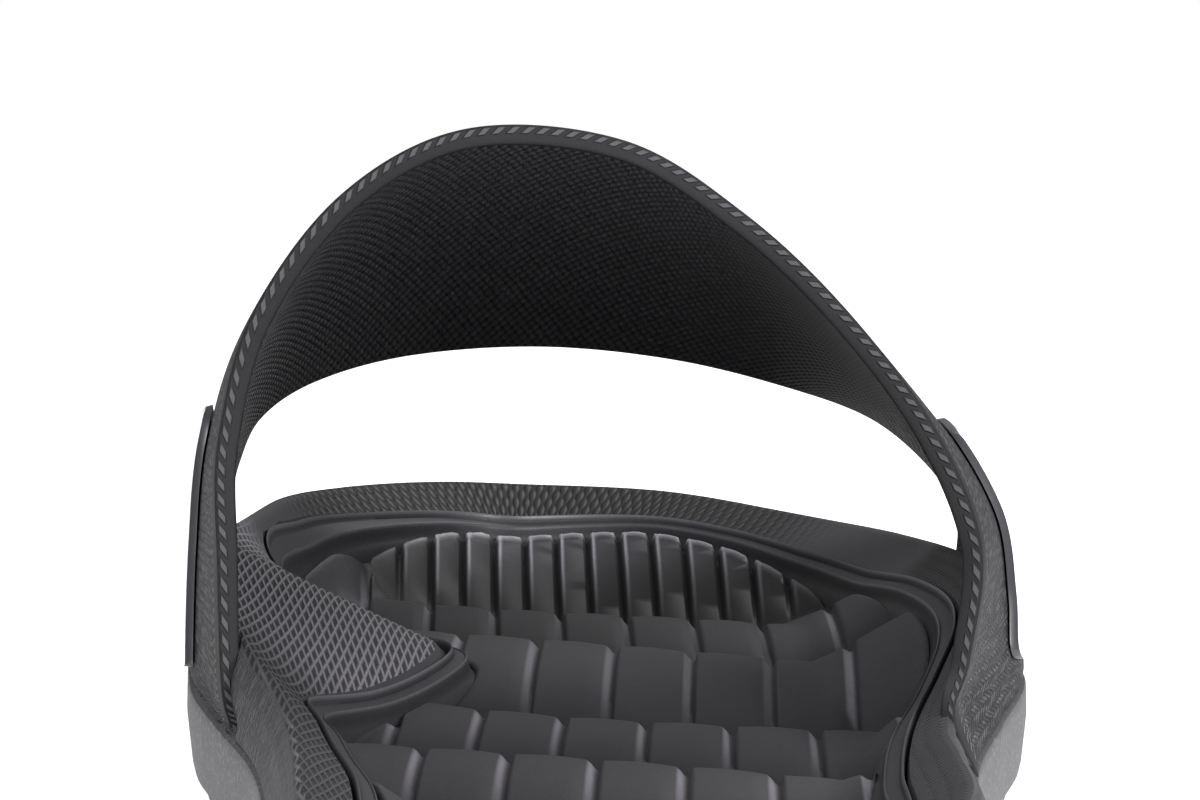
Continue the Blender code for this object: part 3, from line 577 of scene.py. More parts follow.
def closed_loop(name, loops, edges, start=0):
    """A ring-shaped body from loops of points of one count, closed both ways, with how much painted highlight each
    loop gets as a thin lip. Its pattern runs round the sole one way and, from the loop with the start's number, along
    the section the other way.
    """
    stacked = np.array(loops)
    edges = np.array([*edges, edges[0]], float)
    stacked = np.concatenate([stacked, stacked[:1]])
    stacked = np.concatenate([stacked, stacked[:, :1]], axis=1)
    steps = np.linalg.norm(np.diff(stacked, axis=0), axis=2)
    climbed = np.concatenate([np.zeros((1, stacked.shape[1])), np.cumsum(steps, axis=0)])
    climbed -= climbed[start]

    def place(across, up):
        pattern = np.stack([OUTLINE.walked[across], climbed[up, across]], axis=1) / MM
        return stacked[up, across], pattern, edges[up]

    return laid_grid(name, stacked.shape[1] - 1, len(loops), place)


def set_row_materials(mesh, columns, row_materials):
    """Gives each row of the grid's faces the material slot of its number."""
    rows = np.arange(len(mesh.polygons)) // columns
    mesh.polygons.foreach_set("material_index", np.asarray(row_materials)[rows])


def slope_distance(row):
    """How far in a row of the rim's inner slope lies: its inset, or its share of the way to the insert."""
    return RIDGE_INSET + (INSERT_EDGE - RIDGE_INSET) * row.share if row.share > 0 else row.inset


def slope_loop(distance, lift=0.0):
    """A loop on the rim's inner slope, at a distance in from the contour."""
    plan = OUTLINE.inset(distance)
    return np.column_stack([plan, slope_height(distance, OUTLINE.ridge, OUTLINE.reach, plan[:, 1]) + lift])


def cup_loop(row):
    """One loop of the cup from its table row."""
    if row.zone == "slope":
        return slope_loop(slope_distance(row), row.lift)
    plan = OUTLINE.inset(row.inset)
    ground = underside(plan[:, 1])
    bottom = ground + OUTSOLE_THICKNESS + SEAT
    seam = ground + OUTLINE.seam * SOLE_HEIGHT
    ridge = ground + OUTLINE.ridge * SOLE_HEIGHT
    low, high = (bottom, seam) if row.zone == "side" else (seam, ridge)
    return np.column_stack([plan, low + (high - low) * row.share + row.lift])


def tucked(points, surface, normals, wall):
    """Moves points that lie outside the strap's face, or just under it, into the strap's wall."""
    placed = points.copy()
    offsets = points[:, None] - surface[None]
    index = np.argmin(np.einsum("ijk,ijk->ij", offsets, offsets), axis=1)
    chosen = offsets[np.arange(len(index)), index]
    out = np.einsum("ij,ij->i", chosen, normals[index])
    beside = np.linalg.norm(chosen - out[:, None] * normals[index], axis=1)
    depth = -TUCK_DEPTH * wall[index]
    move = (beside < TUCK_BESIDE) & (out > depth) & (out < TUCK_REACH)
    placed[move] += ((depth - out)[:, None] * normals[index])[move]
    return placed


def cup_loops():
    """All loops of the cup with the steps between its rows filled in, then the pocket and the hidden bottom."""
    loops = [(cup_loop(CUP_ROWS[0]), CUP_ROWS[0].material)]
    for before, row in zip(CUP_ROWS, CUP_ROWS[1:]):
        start, end = cup_loop(before), cup_loop(row)
        for step in range(1, row.steps + 1):
            share = step / row.steps
            if row.place == "slope end":
                distance = before.inset + (slope_distance(row) - before.inset) * share
                loops.append((slope_loop(distance), row.material))
            else:
                loops.append((start + (end - start) * share, row.material))
    pocket = OUTLINE.inset(INSERT_EDGE)
    hidden = OUTLINE.inset(INSERT_EDGE + 0.002)
    floor = middle_heights(pocket[:, 1])[:, 1] - BED_THICKNESS
    bottom = underside(hidden[:, 1]) + OUTSOLE_THICKNESS + SEAT
    for plan, height in ((pocket, floor), (hidden, floor), (hidden, bottom)):
        loops.append((np.column_stack([plan, height]), 3))
    return loops


def bead_loops():
    """Loops of the insert's bead and channel, closed under it."""
    loops, edges = [], []
    for row in BEAD_ROWS:
        distance = INSERT_EDGE + SEAT + BEAD_WIDTH * row.over_bead + BEAD_CHANNEL * row.over_channel
        loops.append(slope_loop(distance, row.rise))
        edges.append(row.edge)
    under = (0, 0, -0.003)
    return loops + [loops[-1] + under, loops[0] + under], edges + [0.0, 0.0]


def cut(shape, faces, point, normal):
    """Cuts flat faces along a line in plan and returns all the faces that then make them up."""
    edges = {edge for face in faces for edge in face.edges}
    corners = {corner for face in faces for corner in face.verts}
    result = bmesh.ops.bisect_plane(
        shape, geom=[*faces, *edges, *corners], dist=1e-7, plane_co=(*point, 0), plane_no=(*normal, 0)
    )
    made = [item for item in result["geom"] if isinstance(item, bmesh.types.BMFace)]
    return [face for face in dict.fromkeys([*faces, *made]) if face.is_valid]


def bed_plan():
    """The pads' area in plan, with narrow rings along its edge, cut along each row and each groove."""
    shape = bmesh.new()
    rings = []
    for inset in BED_RINGS:
        plan = OUTLINE.inset(OUTLINE.flank * WIDTH + SEAT + inset * MM)
        rings.append([shape.verts.new((x, y, 0)) for x, y in plan])
    for outer, inner in zip(rings, rings[1:]):
        for here in range(OUTLINE.count):
            after = (here + 1) % OUTLINE.count
            shape.faces.new((outer[here], outer[after], inner[after], inner[here]))
    shape.faces.new(rings[-1])
    slant = (math.tan(ROW_SLANT), 1.0)
    for row in PAD_ROWS[:-1]:
        cut(shape, list(shape.faces), (0.0, row.back * LENGTH), slant)
    for row in PAD_ROWS:
        inside = []
        for face in shape.faces:
            middle = face.calc_center_median()
            if row.back < (middle.y + middle.x * slant[0]) / LENGTH <= row.front:
                inside.append(face)
        low, high = max(row.back, -BED_END) * LENGTH, min(row.front, BED_END) * LENGTH
        centre = (low + high) / 2
        tilt = math.tan(row.tilt)
        offsets = [share * row.bevel / MM for share in GROOVE_BEVEL_PLACES]
        offsets += [row.bevel / MM + place for place in GROOVE_WALL_PLACES]
        spread = row.pitch / MM - offsets[-1]
        count = round(spread / BED_COLUMN)
        offsets += [offsets[-1] + spread * part / count for part in range(1, count)]
        start = math.floor(-WIDTH / row.pitch)
        for repeat in range(start, -start + 1):
            for offset in offsets:
                place = (repeat + row.shift) * row.pitch + offset * MM
                if abs(place) < 0.45 * WIDTH:
                    inside = cut(shape, inside, (place + centre * tilt, centre), (1.0, -tilt))
        for line in np.arange(low + BED_STEP, high, BED_STEP):
            inside = cut(shape, inside, (0.0, line), slant)
    wide = [face for face in shape.faces if len(face.verts) > 4]
    bmesh.ops.triangulate(shape, faces=wide, quad_method="BEAUTY", ngon_method="BEAUTY")
    return shape


# Shader groups and finishes


def feed(tree, socket, value):
    """Gives a socket a plain value, or links what feeds it."""
    value = getattr(value, "socket", value)
    if isinstance(value, bpy.types.NodeSocket):
        tree.links.new(value, socket)
    else:
        socket.default_value = value


def node(tree, kind, settings=None, *places, **inputs):
    """Adds a node with its own settings, and feeds its inputs by their order or by their names."""
    made = tree.nodes.new(kind)
    for name, value in (settings or {}).items():
        setattr(made, name, value)
    for place, value in enumerate(places):
        feed(tree, made.inputs[place], value)
    for name, value in inputs.items():
        feed(tree, made.inputs[name.replace("_", " ")], value)
    return made


class Value:
    """A value that changes over the surface. Its arithmetic adds Math nodes to its tree."""

    def __init__(self, socket):
        self.socket = socket
        self.tree = socket.id_data

    def maths(self, operation, *values):
        return Value(node(self.tree, "ShaderNodeMath", {"operation": operation}, *values).outputs[0])

    def __add__(self, other):
        return self.maths("ADD", self, other)

    def __sub__(self, other):
        return self.maths("SUBTRACT", self, other)

    def __rsub__(self, other):
        return self.maths("SUBTRACT", other, self)

    def __mul__(self, other):
        return self.maths("MULTIPLY", self, other)

    def __truediv__(self, other):
        return self.maths("DIVIDE", self, other)

    def __abs__(self):
        return self.maths("ABSOLUTE", self)

    def larger(self, other):
        return self.maths("MAXIMUM", self, other)

    def cell(self):
        """Where the value lies in its step of one, from minus to plus one half."""
        return self.maths("FRACT", self) - 0.5

    def smooth(self, low, high):
        """A soft step from zero at low to one at high."""
        settings = {"interpolation_type": "SMOOTHSTEP"}
        made = node(self.tree, "ShaderNodeMapRange", settings, Value=self, From_Min=low, From_Max=high)
        return Value(made.outputs["Result"])

    def parts(self):
        made = node(self.tree, "ShaderNodeSeparateXYZ", None, self).outputs
        return Value(made["X"]), Value(made["Y"])


def new_group(name, outputs, **inputs):
    """Starts a shader node group. Inputs are given with their defaults, and one without is a vector."""
    tree = bpy.data.node_groups.new(name, "ShaderNodeTree")
    for label, default in inputs.items():
        kind = "NodeSocketVector" if default is None else "NodeSocketFloat"
        socket = tree.interface.new_socket(label.replace("_", " "), in_out="INPUT", socket_type=kind)
        if default is not None:
            socket.default_value = default
    for label in outputs:
        tree.interface.new_socket(label, in_out="OUTPUT", socket_type="NodeSocketFloat")
    given = {socket.name: Value(socket) for socket in tree.nodes.new("NodeGroupInput").outputs}
    return tree, given, tree.nodes.new("NodeGroupOutput").inputs


def build_staggered():
    """Bumps in staggered rows: long ovals that lean, two lattices deep, as in knits and moulded scales."""
    tree, given, result = new_group(
        "staggered bumps", ["Height"], Vector=None, Pitch=1.0, Row=1.0, Half_width=0.4, Half_height=0.6, Lean=0.0
    )
    x, y = given["Vector"].parts()
    across = (x - y * given["Lean"]) / given["Pitch"]
    up = y / given["Row"] / 2.0
    heights = []
    for offset in (0.0, 0.5):
        along = (across + offset).cell() * given["Pitch"] / given["Half width"]
        rise = (up + offset).cell() * given["Row"] * 2.0 / given["Half height"]
        heights.append((1.0 - (along * along + rise * rise)).larger(0.0))
    highest = heights[0].larger(heights[1])
    feed(tree, result["Height"], highest.maths("SQRT", highest))


def build_crossing():
    """Two families of slanting threads that cross, with small pits between them."""
    tree, given, result = new_group("crossing threads", ["Height"], Vector=None, Pitch=1.0, Row=1.0)
    x, y = given["Vector"].parts()
    across, up = x / given["Pitch"], y / given["Row"]
    first, second = (abs(place.cell()).smooth(0.16, 0.45) for place in (across + up, across - up))
    feed(tree, result["Height"], first.larger(second))


def build_herringbone():
    """Fine slanting ribs that turn back at each column, as on a woven textile."""
    tree, given, result = new_group("herringbone", ["Height"], Vector=None, Pitch=1.0, Column=2.0)
    x, y = given["Vector"].parts()
    turn = x.maths("PINGPONG", x / given["Column"], 0.5)
    rib = abs((y / given["Pitch"] + turn * 3.0).cell()).smooth(0.06, 0.34)
    feed(tree, result["Height"], rib * abs(turn - 0.25).smooth(0.25, 0.20))


def build_grain():
    """Fine moulded grain with a few specks, from Object coordinates."""
    tree, given, result = new_group("moulded grain", ["Height", "Cloud", "Speck"], Specks=0.0)
    place = node(tree, "ShaderNodeTexCoord").outputs["Object"]
    fine, wide, dots = (
        Value(node(tree, "ShaderNodeTexNoise", Vector=place, Scale=scale, Detail=folds, Roughness=rough).outputs["Fac"])
        for scale, folds, rough in ((2600.0, 3.0, 0.6), (60.0, 4.0, 0.55), (1500.0, 1.0, 0.4))
    )
    feed(tree, result["Height"], fine)
    feed(tree, result["Cloud"], wide)
    feed(tree, result["Speck"], dots.smooth(0.56, 0.70) * given["Specks"])


class Finish:
    """A material in the making. Each bump and tone that is added works on top of those before it."""

    def __init__(self, name, colour, roughness, specular=0.5):
        self.material = bpy.data.materials.new(name)
        self.material.use_nodes = True
        self.tree = self.material.node_tree
        self.shader = self.tree.nodes["Principled BSDF"].inputs
        self.colour = (*colour, 1.0)
        self.normal = {}
        self.pattern = Value(node(self.tree, "ShaderNodeUVMap", {"uv_map": "Pattern"}).outputs["UV"])
        self.set(Base_Color=self.colour, Roughness=roughness, Specular_IOR_Level=specular)

    def set(self, **values):
        for name, value in values.items():
            feed(self.tree, self.shader[name.replace("_", " ")], value)

    def effect(self, name, **inputs):
        """Places a shader group and returns what it puts out, by name."""
        made = node(self.tree, "ShaderNodeGroup", {"node_tree": bpy.data.node_groups[name]}, **inputs)
        return {socket.name: Value(socket) for socket in made.outputs}

    def height(self, name, **inputs):
        return self.effect(name, Vector=self.pattern, **inputs)["Height"]

    def bump(self, height, millimetres, strength=1.0):
        distance = millimetres * MM
        made = node(self.tree, "ShaderNodeBump", Strength=strength, Distance=distance, Height=height, **self.normal)
        self.normal = {"Normal": made.outputs["Normal"]}
        self.set(**self.normal)

    def tone(self, mask, factor):
        """Multiplies the colour by the factor where the mask is one."""
        settings = {"data_type": "RGBA", "blend_type": "MULTIPLY"}
        grey = (factor, factor, factor, 1.0)
        self.colour = node(self.tree, "ShaderNodeMix", settings, Factor=mask, A=self.colour, B=grey).outputs["Result"]
        self.set(Base_Color=self.colour)

    def rough(self, mask, low, high):
        made = node(self.tree, "ShaderNodeMapRange", Value=mask, To_Min=low, To_Max=high)
        self.set(Roughness=made.outputs["Result"])

    def grain(self, millimetres, strength, specks=0.0, **tones):
        """Adds the moulded grain as a bump, and a tone for each of its masks that is named."""
        made = self.effect("moulded grain", Specks=specks)
        self.bump(made["Height"], millimetres, strength)
        for mask, factor in tones.items():
            self.tone(made[mask], factor)

    def yarn(self):
        """Uneven threads, drawn out along the piece, as a mask."""
        drawn = node(self.tree, "ShaderNodeVectorMath", {"operation": "MULTIPLY"}, self.pattern, (1.0, 0.22, 1.0))
        noise = node(self.tree, "ShaderNodeTexNoise", Vector=drawn.outputs[0], Scale=1.6, Detail=2.0)
        return Value(noise.outputs["Fac"]).smooth(0.46, 0.64)

    def dashes(self, strip, share, lean, soft):
        """Slanting dashes in a strip, which rises over its first two places and falls over the last two."""
        x, y = self.pattern.parts()
        inside = y.smooth(*strip[:2]) * y.smooth(*strip[2:])
        return abs((x * share + y * lean).cell()).smooth(0.34, soft) * inside


def foam_side(colours):
    finish = Finish("cup foam", colours.cup, 0.62, 0.3)
    finish.grain(0.12, 0.5, specks=1.0, Speck=2.2, Cloud=0.80)
    return finish.material


def shoulder_textile(colours):
    finish = Finish("shoulder textile", colours.rim, 0.66, 0.2)
    weave = finish.height("herringbone", Pitch=1.05, Column=2.4)
    finish.bump(weave, 0.16, 0.9)
    finish.grain(0.05, 0.4)
    # Painted shade in the hollows between the herringbone's ribs.
    finish.tone(1.0 - weave, 0.40)
    finish.tone(finish.yarn(), 2.6)
    return finish.material


def rim_scales(colours):
    """Upright scales round the toe, crossing threads on the arch's flank and long scales along the lateral side."""
    finish = Finish("rim scales", colours.rim, 0.50, 0.25)
    tree = finish.tree
    walked, climbed = finish.pattern.parts()
    toe = walked.smooth(*RIM_TOE[:2]) * walked.smooth(*RIM_TOE[2:])
    hump = walked.smooth(*RIM_HUMP)
    lateral = walked.smooth(*RIM_LATERAL)
    scales = finish.height("staggered bumps", Pitch=2.2, Row=1.95, Half_width=0.74, Half_height=1.5)
    plan = node(tree, "ShaderNodeTexCoord").outputs["Object"]
    plan = Value(node(tree, "ShaderNodeVectorMath", {"operation": "SCALE"}, plan, Scale=1 / MM).outputs[0])
    x, y = plan.parts()
    skewed = node(tree, "ShaderNodeCombineXYZ", X=x + y * THREAD_SKEW, Y=y).outputs[0]
    threads = finish.effect("crossing threads", Vector=skewed, Pitch=1.1, Row=7.8)["Height"]
    marks = finish.height("staggered bumps", Pitch=1.7, Row=1.9, Half_width=0.5, Half_height=1.9, Lean=0.25)
    height = (scales * toe + threads * hump + marks * lateral) * climbed.smooth(0.1, 0.9)
    finish.bump(height, 0.34)
    finish.grain(0.06, 0.5)
    finish.tone(toe, 0.42)
    finish.tone(hump, 3.9)
    finish.tone(walked.smooth(*RIM_BACK), 0.3)
    # Painted shade in the hollows between the toe's scales, the hump's crossing threads and the lateral side's long
    # marks.
    for effect, zone, factor in ((scales, toe, 0.45), (threads, hump, 0.16), (marks, lateral, 0.30)):
        finish.tone((1.0 - effect) * zone, factor)
    finish.rough(height, 0.70, 0.45)
    return finish.material


def smooth_foam(name, colour, roughness, lips):
    """Smooth moulded foam, glossier on its thin lips, which also get a painted highlight as bright as the given factor,
    and painted shade in its valleys.
    """
    finish = Finish(name, colour, roughness, 0.2)
    finish.grain(0.05, 0.45, specks=0.35, Cloud=0.82, Speck=1.5)
    edge, fall = (
        node(finish.tree, "ShaderNodeAttribute", {"attribute_name": mark}).outputs["Fac"] for mark in ("Edge", "Fall")
    )
    # Painted highlight from the Edge attribute and painted shade from the Fall attribute.
    finish.tone(edge, lips)
    finish.tone(fall, 0.28)
    finish.rough(edge, roughness, 0.30)
    return finish.material


def strap_textile(colours):
    """Herringbone textile with a smooth bound edge and a row of dashes beside it."""
    finish = Finish("strap textile", colours.textile, 0.66, 0.15)
    cloth = finish.pattern.parts()[1].smooth(3.7, 4.0)
    dash = finish.dashes((2.5, 2.8, 3.9, 3.6), 0.95, 0.35, 0.22)
    height = finish.height("herringbone", Pitch=1.05, Column=2.4) * cloth + dash
    finish.bump(height, 0.22)
    # Painted shade where the herringbone and the dashes are low, which also darkens the plain strip beside the edge.
    finish.tone(1.0 - height, 0.35)
    finish.tone(finish.yarn() * cloth, 3.2)
    finish.tone(dash, 2.6)
    return finish.material


def strap_binding(colours):
    finish = Finish("strap binding", [0.42 * part for part in colours.textile], 0.60, 0.10)
    finish.grain(0.10, 0.6, Cloud=0.75)
    dash = finish.dashes((0.25, 0.5, 1.55, 1.3), 0.52, 0.55, 0.20)
    finish.bump(dash, 0.30)
    finish.tone(dash, 5.0)
    return finish.material


def strap_lining(colours):
    finish = Finish("strap lining", colours.lining, 0.62, 0.2)
    knit = finish.height("staggered bumps", Pitch=1.4, Row=1.25, Half_width=0.48, Half_height=0.9)
    finish.bump(knit, 0.30)
    # Painted shade in the hollows between the knit's bumps.
    finish.tone(1.0 - knit, 0.16)
    return finish.material


def plate_gloss(colours):
    finish = Finish("plate gloss", colours.plate, 0.24)
    finish.grain(0.02, 0.25, Cloud=0.9)
    finish.set(Coat_Weight=0.5, Coat_Roughness=0.12)
    return finish.material


def plate_border():
    finish = Finish("plate border", (0.018, 0.018, 0.021), 0.35)
    finish.grain(0.03, 0.4)
    return finish.material


def tread_rubber(colours):
    finish = Finish("tread rubber", colours.tread, 0.55)
    finish.grain(0.08, 0.5, Cloud=0.75)
    return finish.material


# Operators, one for each piece or group of like pieces


class SANDAL_OT_groups(bpy.types.Operator):
    """Build the shader groups that the finishes share"""

    bl_idname = "sandal.groups"
    bl_label = "Shared effects"

    def execute(self, context):
        build_staggered()
        build_crossing()
        build_herringbone()
        build_grain()
        return {"FINISHED"}


class SANDAL_OT_cup(bpy.types.Operator):
    """Build the cup: its flared side, shoulder, ridge and textured rim"""

    bl_idname = "sandal.cup"
    bl_label = "Cup"

    def execute(self, context):
        colours = context.scene.sandal_colours
        loops = cup_loops()
        surface, normals, wall = strap_foot(context.scene.sandal_sizes.strap_wall)
        loops = [
            (tucked(points, surface, normals, wall) if place in TUCKED_LOOPS else points, material)
            for place, (points, material) in enumerate(loops)
        ]
        row_materials = [material for _, material in loops][1:] + [3]
        mesh = closed_loop("cup", [points for points, _ in loops], [0.0] * len(loops), row_materials.index(2))
        set_row_materials(mesh, OUTLINE.count, row_materials)
        materials = [
            foam_side(colours),
            shoulder_textile(colours),
            rim_scales(colours),
            smooth_foam("pocket foam", colours.bed, 0.5, 1.0),
        ]
        finish_piece("cup", mesh, materials, ["midsole"])
        return {"FINISHED"}


class SANDAL_OT_footbed(bpy.types.Operator):
    """Build the footbed's ribs and pads and the bead round them"""

    bl_idname = "sandal.footbed"
    bl_label = "Footbed"

    def execute(self, context):
        colours = context.scene.sandal_colours
        sizes = context.scene.sandal_sizes
        loops, edges = bead_loops()
        bead = closed_loop("bead", loops, edges)
        # Darker bed foam, with a painted highlight four times as bright on the bead's welt and lip.
        dark = smooth_foam("bead foam", tuple(0.6 * part for part in colours.bed), 0.5, 4.0)
        finish_piece("bead", bead, [dark], ["footbed"], sharp=60)
        shape = bed_plan()
        flat = np.array([corner.co[:2] for corner in shape.verts])
        heights, marks, falls = bed_heights(flat[:, 0], flat[:, 1], sizes.rib_lip)
        for corner, height in zip(shape.verts, heights):
            corner.co.z = height
        rim = [edge for edge in shape.edges if edge.is_boundary]
        made = bmesh.ops.extrude_edge_only(shape, edges=rim)["geom"]
        low = [item for item in made if isinstance(item, bmesh.types.BMVert)]
        under = [item for item in made if isinstance(item, bmesh.types.BMEdge) and item.is_boundary]
        for corner in low:
            corner.co.z = 0.0
        closed = bmesh.ops.contextual_create(shape, geom=under)["faces"]
        bmesh.ops.triangulate(shape, faces=closed, quad_method="BEAUTY", ngon_method="BEAUTY")
        floor = middle_heights([corner.co.y for corner in low])[:, 1] - BED_THICKNESS + SEAT
        for corner, height in zip(low, floor):
            corner.co.z = height
        mesh = bpy.data.meshes.new("pads")
        shape.to_mesh(mesh)
        shape.free()
        mesh.uv_layers.new(name="Pattern")
        # Edge carries the painted highlight on the lips and bevels, and Fall the painted shade.
        for name, values in (("Edge", marks), ("Fall", falls)):
            padded = np.zeros(len(mesh.vertices))
            padded[: len(values)] = values
            mesh.attributes.new(name, "FLOAT", "POINT").data.foreach_set("value", padded)
        # The pads' painted highlight is nine times as bright on the lips and bevels.
        foam = smooth_foam("bed foam", colours.bed, 0.56, 9.0)
        finish_piece("pads", mesh, [foam], ["footbed"], sharp=60)
        return {"FINISHED"}


class SANDAL_OT_strap(bpy.types.Operator):
    """Build the hollow strap with its textile, its bound edges and its knitted lining"""

    bl_idname = "sandal.strap"
    bl_label = "Strap"

    def execute(self, context):
        sizes = context.scene.sandal_sizes
        colours = context.scene.sandal_colours
        columns = LAST_BAND * STRAP_STEPS
        depth_steps, edge_steps = STRAP_DEPTH_STEPS, STRAP_EDGE_STEPS
        rows = 2 * (depth_steps + edge_steps)
        face_share = np.linspace(0, 1, depth_steps + 1)
        turn = np.linspace(0, 1, edge_steps + 1)
        bend = np.cos(math.pi * turn)
        through = (1 - np.sign(bend) * np.abs(bend) ** 0.55) / 2
        bulge = np.abs(np.sin(math.pi * turn)) ** 0.6
        depth = np.concatenate([face_share, np.ones(edge_steps), face_share[::-1][1:], np.zeros(edge_steps)])
        into = np.concatenate([face_share * 0, through[1:], face_share[1:] * 0 + 1, 1 - through[1:]])
        out = np.concatenate([face_share * 0, bulge[1:], face_share[1:] * 0, -bulge[1:]])

        def place(across, up):
            band = across / STRAP_STEPS
            here = depth[up]
            points = strap_points(band, here)
            normals = strap_normals(band, here)
            wall = sizes.strap_wall * band_points(band, here)[3]
            ahead = strap_points(band, np.minimum(here + 0.02, 1)) - strap_points(band, np.maximum(here - 0.02, 0))
            ahead /= np.linalg.norm(ahead, axis=1)[:, None]
            placed = points - normals * (wall * into[up])[:, None] + ahead * (sizes.edge_crown * out[up])[:, None]
            spine = strap_points(np.arange(columns + 1) / STRAP_STEPS, np.full(columns + 1, 0.4))
            walked = np.concatenate([[0.0], np.cumsum(np.linalg.norm(np.diff(spine, axis=0), axis=1))])
            spread = STRAP_FACE_PATTERN * here + STRAP_EDGE_PATTERN * into[up]
            return placed, np.stack([walked[across] / MM, spread], axis=1), np.zeros(len(here))

        mesh = laid_grid("strap", columns, rows, place)
        textile, binding, lining = [0] * depth_steps, [1] * edge_steps, [2] * depth_steps
        set_row_materials(mesh, columns, textile + binding + lining + binding)
        materials = [strap_textile(colours), strap_binding(colours), strap_lining(colours)]
        with reshaping(mesh) as shape:
            bmesh.ops.remove_doubles(shape, verts=shape.verts, dist=WELD)
            bmesh.ops.holes_fill(shape, edges=[edge for edge in shape.edges if edge.is_boundary])
        strap = finish_piece("strap_shell", mesh, materials, ["strap"], sharp=50)
        return {"FINISHED"}


class SANDAL_OT_plates(bpy.types.Operator):
    """Build the two glossy side plates with their dark borders"""

    bl_idname = "sandal.plates"
    bl_label = "Side plates"

    def execute(self, context):
        sizes = context.scene.sandal_sizes
        colours = context.scene.sandal_colours
        materials = [plate_gloss(colours), plate_border()]
        for plate in PLATES:

            def place(across, up):
                x = 2 * across / PLATE_COLUMNS - 1
                y = 2 * up / PLATE_ROWS - 1
                round_x = x * np.sqrt(1 - 0.36 * y**8)
                round_y = y * np.sqrt(1 - 0.10 * x**8)
                share = (round_y + 1) / 2
                band = plate.low_band + (plate.high_band - plate.low_band) * share
                back = plate.low_back + (plate.high_back - plate.low_back) * share
                front = plate.low_front + (plate.high_front - plate.low_front) * share
                depth = (back + front) / 2 + (front - back) / 2 * round_x
                edge = np.maximum(np.abs(x), np.abs(y))
                rise = np.clip((1 - edge) / PLATE_ROUND, 0, 1)
                lift = SEAT + sizes.plate_thickness * np.sqrt(1 - (1 - rise) ** 2)
                points = strap_points(band, depth) + strap_normals(band, depth) * lift[:, None]
                return points, np.stack([x * 10, y * 17], axis=1), 1 - rise

            mesh = laid_grid(plate.name, PLATE_COLUMNS, PLATE_ROWS, place)
            places = np.arange(len(mesh.polygons))
            x = np.abs((places % PLATE_COLUMNS + 0.5) / PLATE_COLUMNS * 2 - 1)
            y = np.abs((places // PLATE_COLUMNS + 0.5) / PLATE_ROWS * 2 - 1)
            border = np.maximum(x, 1 - (1 - y) * 1.7) > 1 - sizes.plate_border
            mesh.polygons.foreach_set("material_index", border.astype(int))
            with reshaping(mesh) as shape:
                bmesh.ops.contextual_create(shape, geom=[edge for edge in shape.edges if edge.is_boundary])
            finish_piece(plate.name, mesh, materials, [plate.node], sharp=60)
        return {"FINISHED"}


class SANDAL_OT_tread(bpy.types.Operator):
    """Give the frame's outsole its rubber"""

    bl_idname = "sandal.tread"
    bl_label = "Tread"

    def execute(self, context):
        material = tread_rubber(context.scene.sandal_colours)
        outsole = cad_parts["outsole"]
        for slot in outsole.material_slots:
            slot.material = material
        return {"FINISHED"}


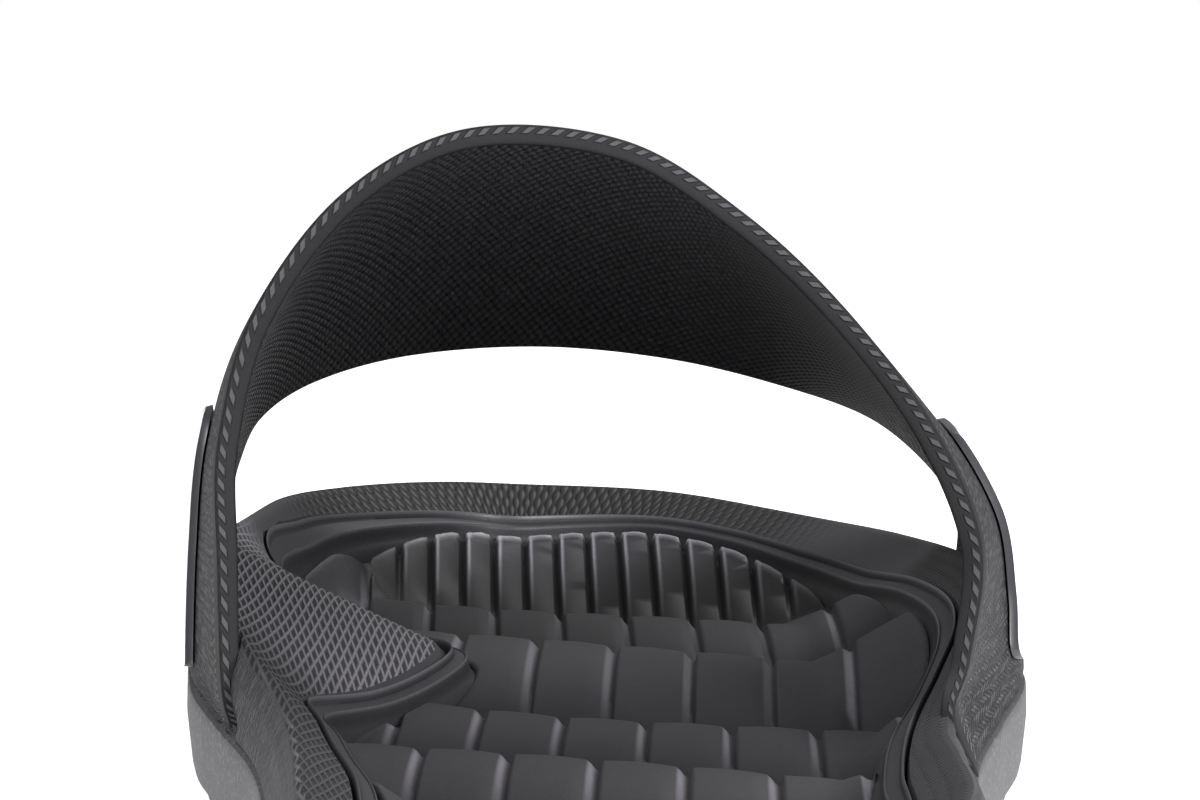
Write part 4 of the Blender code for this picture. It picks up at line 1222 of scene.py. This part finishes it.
class SANDAL_OT_stage(bpy.types.Operator):
    """Set the floor, the lights and the camera"""

    bl_idname = "sandal.stage"
    bl_label = "Stage"

    def execute(self, context):
        scene = context.scene
        mesh = bpy.data.meshes.new("floor")
        with reshaping(mesh) as shape:
            bmesh.ops.create_grid(shape, x_segments=1, y_segments=1, size=1.0)
        floor = bpy.data.objects.new("floor", mesh)
        scene.collection.objects.link(floor)
        mesh.materials.append(Finish("pale floor", FLOOR_COLOUR, 0.9, 0.1).material)
        world = bpy.data.worlds.new("studio")
        world.use_nodes = True
        tree = world.node_tree
        background = tree.nodes["Background"]
        background.inputs["Color"].default_value = (1.0, 1.0, 1.0, 1.0)
        seen = node(tree, "ShaderNodeLightPath").outputs["Is Camera Ray"]
        strength = node(tree, "ShaderNodeMapRange", Value=seen, To_Min=WORLD_LIGHT, To_Max=1.0)
        tree.links.new(strength.outputs["Result"], background.inputs["Strength"])
        scene.world = world
        for lamp in LAMPS:
            area_light(*lamp)
        lens = bpy.data.cameras.new("camera")
        lens.lens = CAMERA_LENS
        lens.sensor_width = 36.0
        lens.clip_start = 0.01
        camera = bpy.data.objects.new("camera", lens)
        camera.location = CAMERA_PLACE
        ahead = Vector((math.sin(CAMERA_TURN), math.cos(CAMERA_TURN), -math.tan(CAMERA_DIP)))
        camera.rotation_euler = ahead.to_track_quat("-Z", "Y").to_euler()
        scene.collection.objects.link(camera)
        scene.camera = camera
        scene.view_settings.view_transform = "Standard"
        return {"FINISHED"}


def area_light(name, place, target, size, watts):
    lamp = bpy.data.lights.new(name, "AREA")
    lamp.shape = "DISK"
    lamp.size = size
    lamp.energy = watts
    holder = bpy.data.objects.new(name, lamp)
    holder.location = place
    holder.rotation_euler = (Vector(target) - Vector(place)).to_track_quat("-Z", "Y").to_euler()
    bpy.context.scene.collection.objects.link(holder)


OPERATORS = [
    SANDAL_OT_groups,
    SANDAL_OT_cup,
    SANDAL_OT_footbed,
    SANDAL_OT_strap,
    SANDAL_OT_plates,
    SANDAL_OT_tread,
    SANDAL_OT_stage,
]


class SANDAL_PT_pieces(bpy.types.Panel):
    """Lists the sizes, the colours and the pieces"""

    bl_idname = "SANDAL_PT_pieces"
    bl_label = "Slide Sandal"
    bl_space_type = "VIEW_3D"
    bl_region_type = "UI"
    bl_category = "Sandal"

    def draw(self, context):
        for values in (context.scene.sandal_sizes, context.scene.sandal_colours):
            box = self.layout.box()
            for name in values.bl_rna.properties.keys():
                if name not in ("rna_type", "name"):
                    box.prop(values, name)
        for operator in OPERATORS:
            self.layout.operator(operator.bl_idname)


CLASSES = [SandalSizes, SandalColours, *OPERATORS, SANDAL_PT_pieces]


def register():
    for made in CLASSES:
        bpy.utils.register_class(made)
    bpy.types.Scene.sandal_sizes = bpy.props.PointerProperty(type=SandalSizes)
    bpy.types.Scene.sandal_colours = bpy.props.PointerProperty(type=SandalColours)


def unregister():
    del bpy.types.Scene.sandal_sizes
    del bpy.types.Scene.sandal_colours
    for made in reversed(CLASSES):
        bpy.utils.unregister_class(made)


def main():
    register()
    for operator in OPERATORS:
        group_name, name = operator.bl_idname.split(".")
        getattr(getattr(bpy.ops, group_name), name)()


if __name__ == "__main__":
    main()
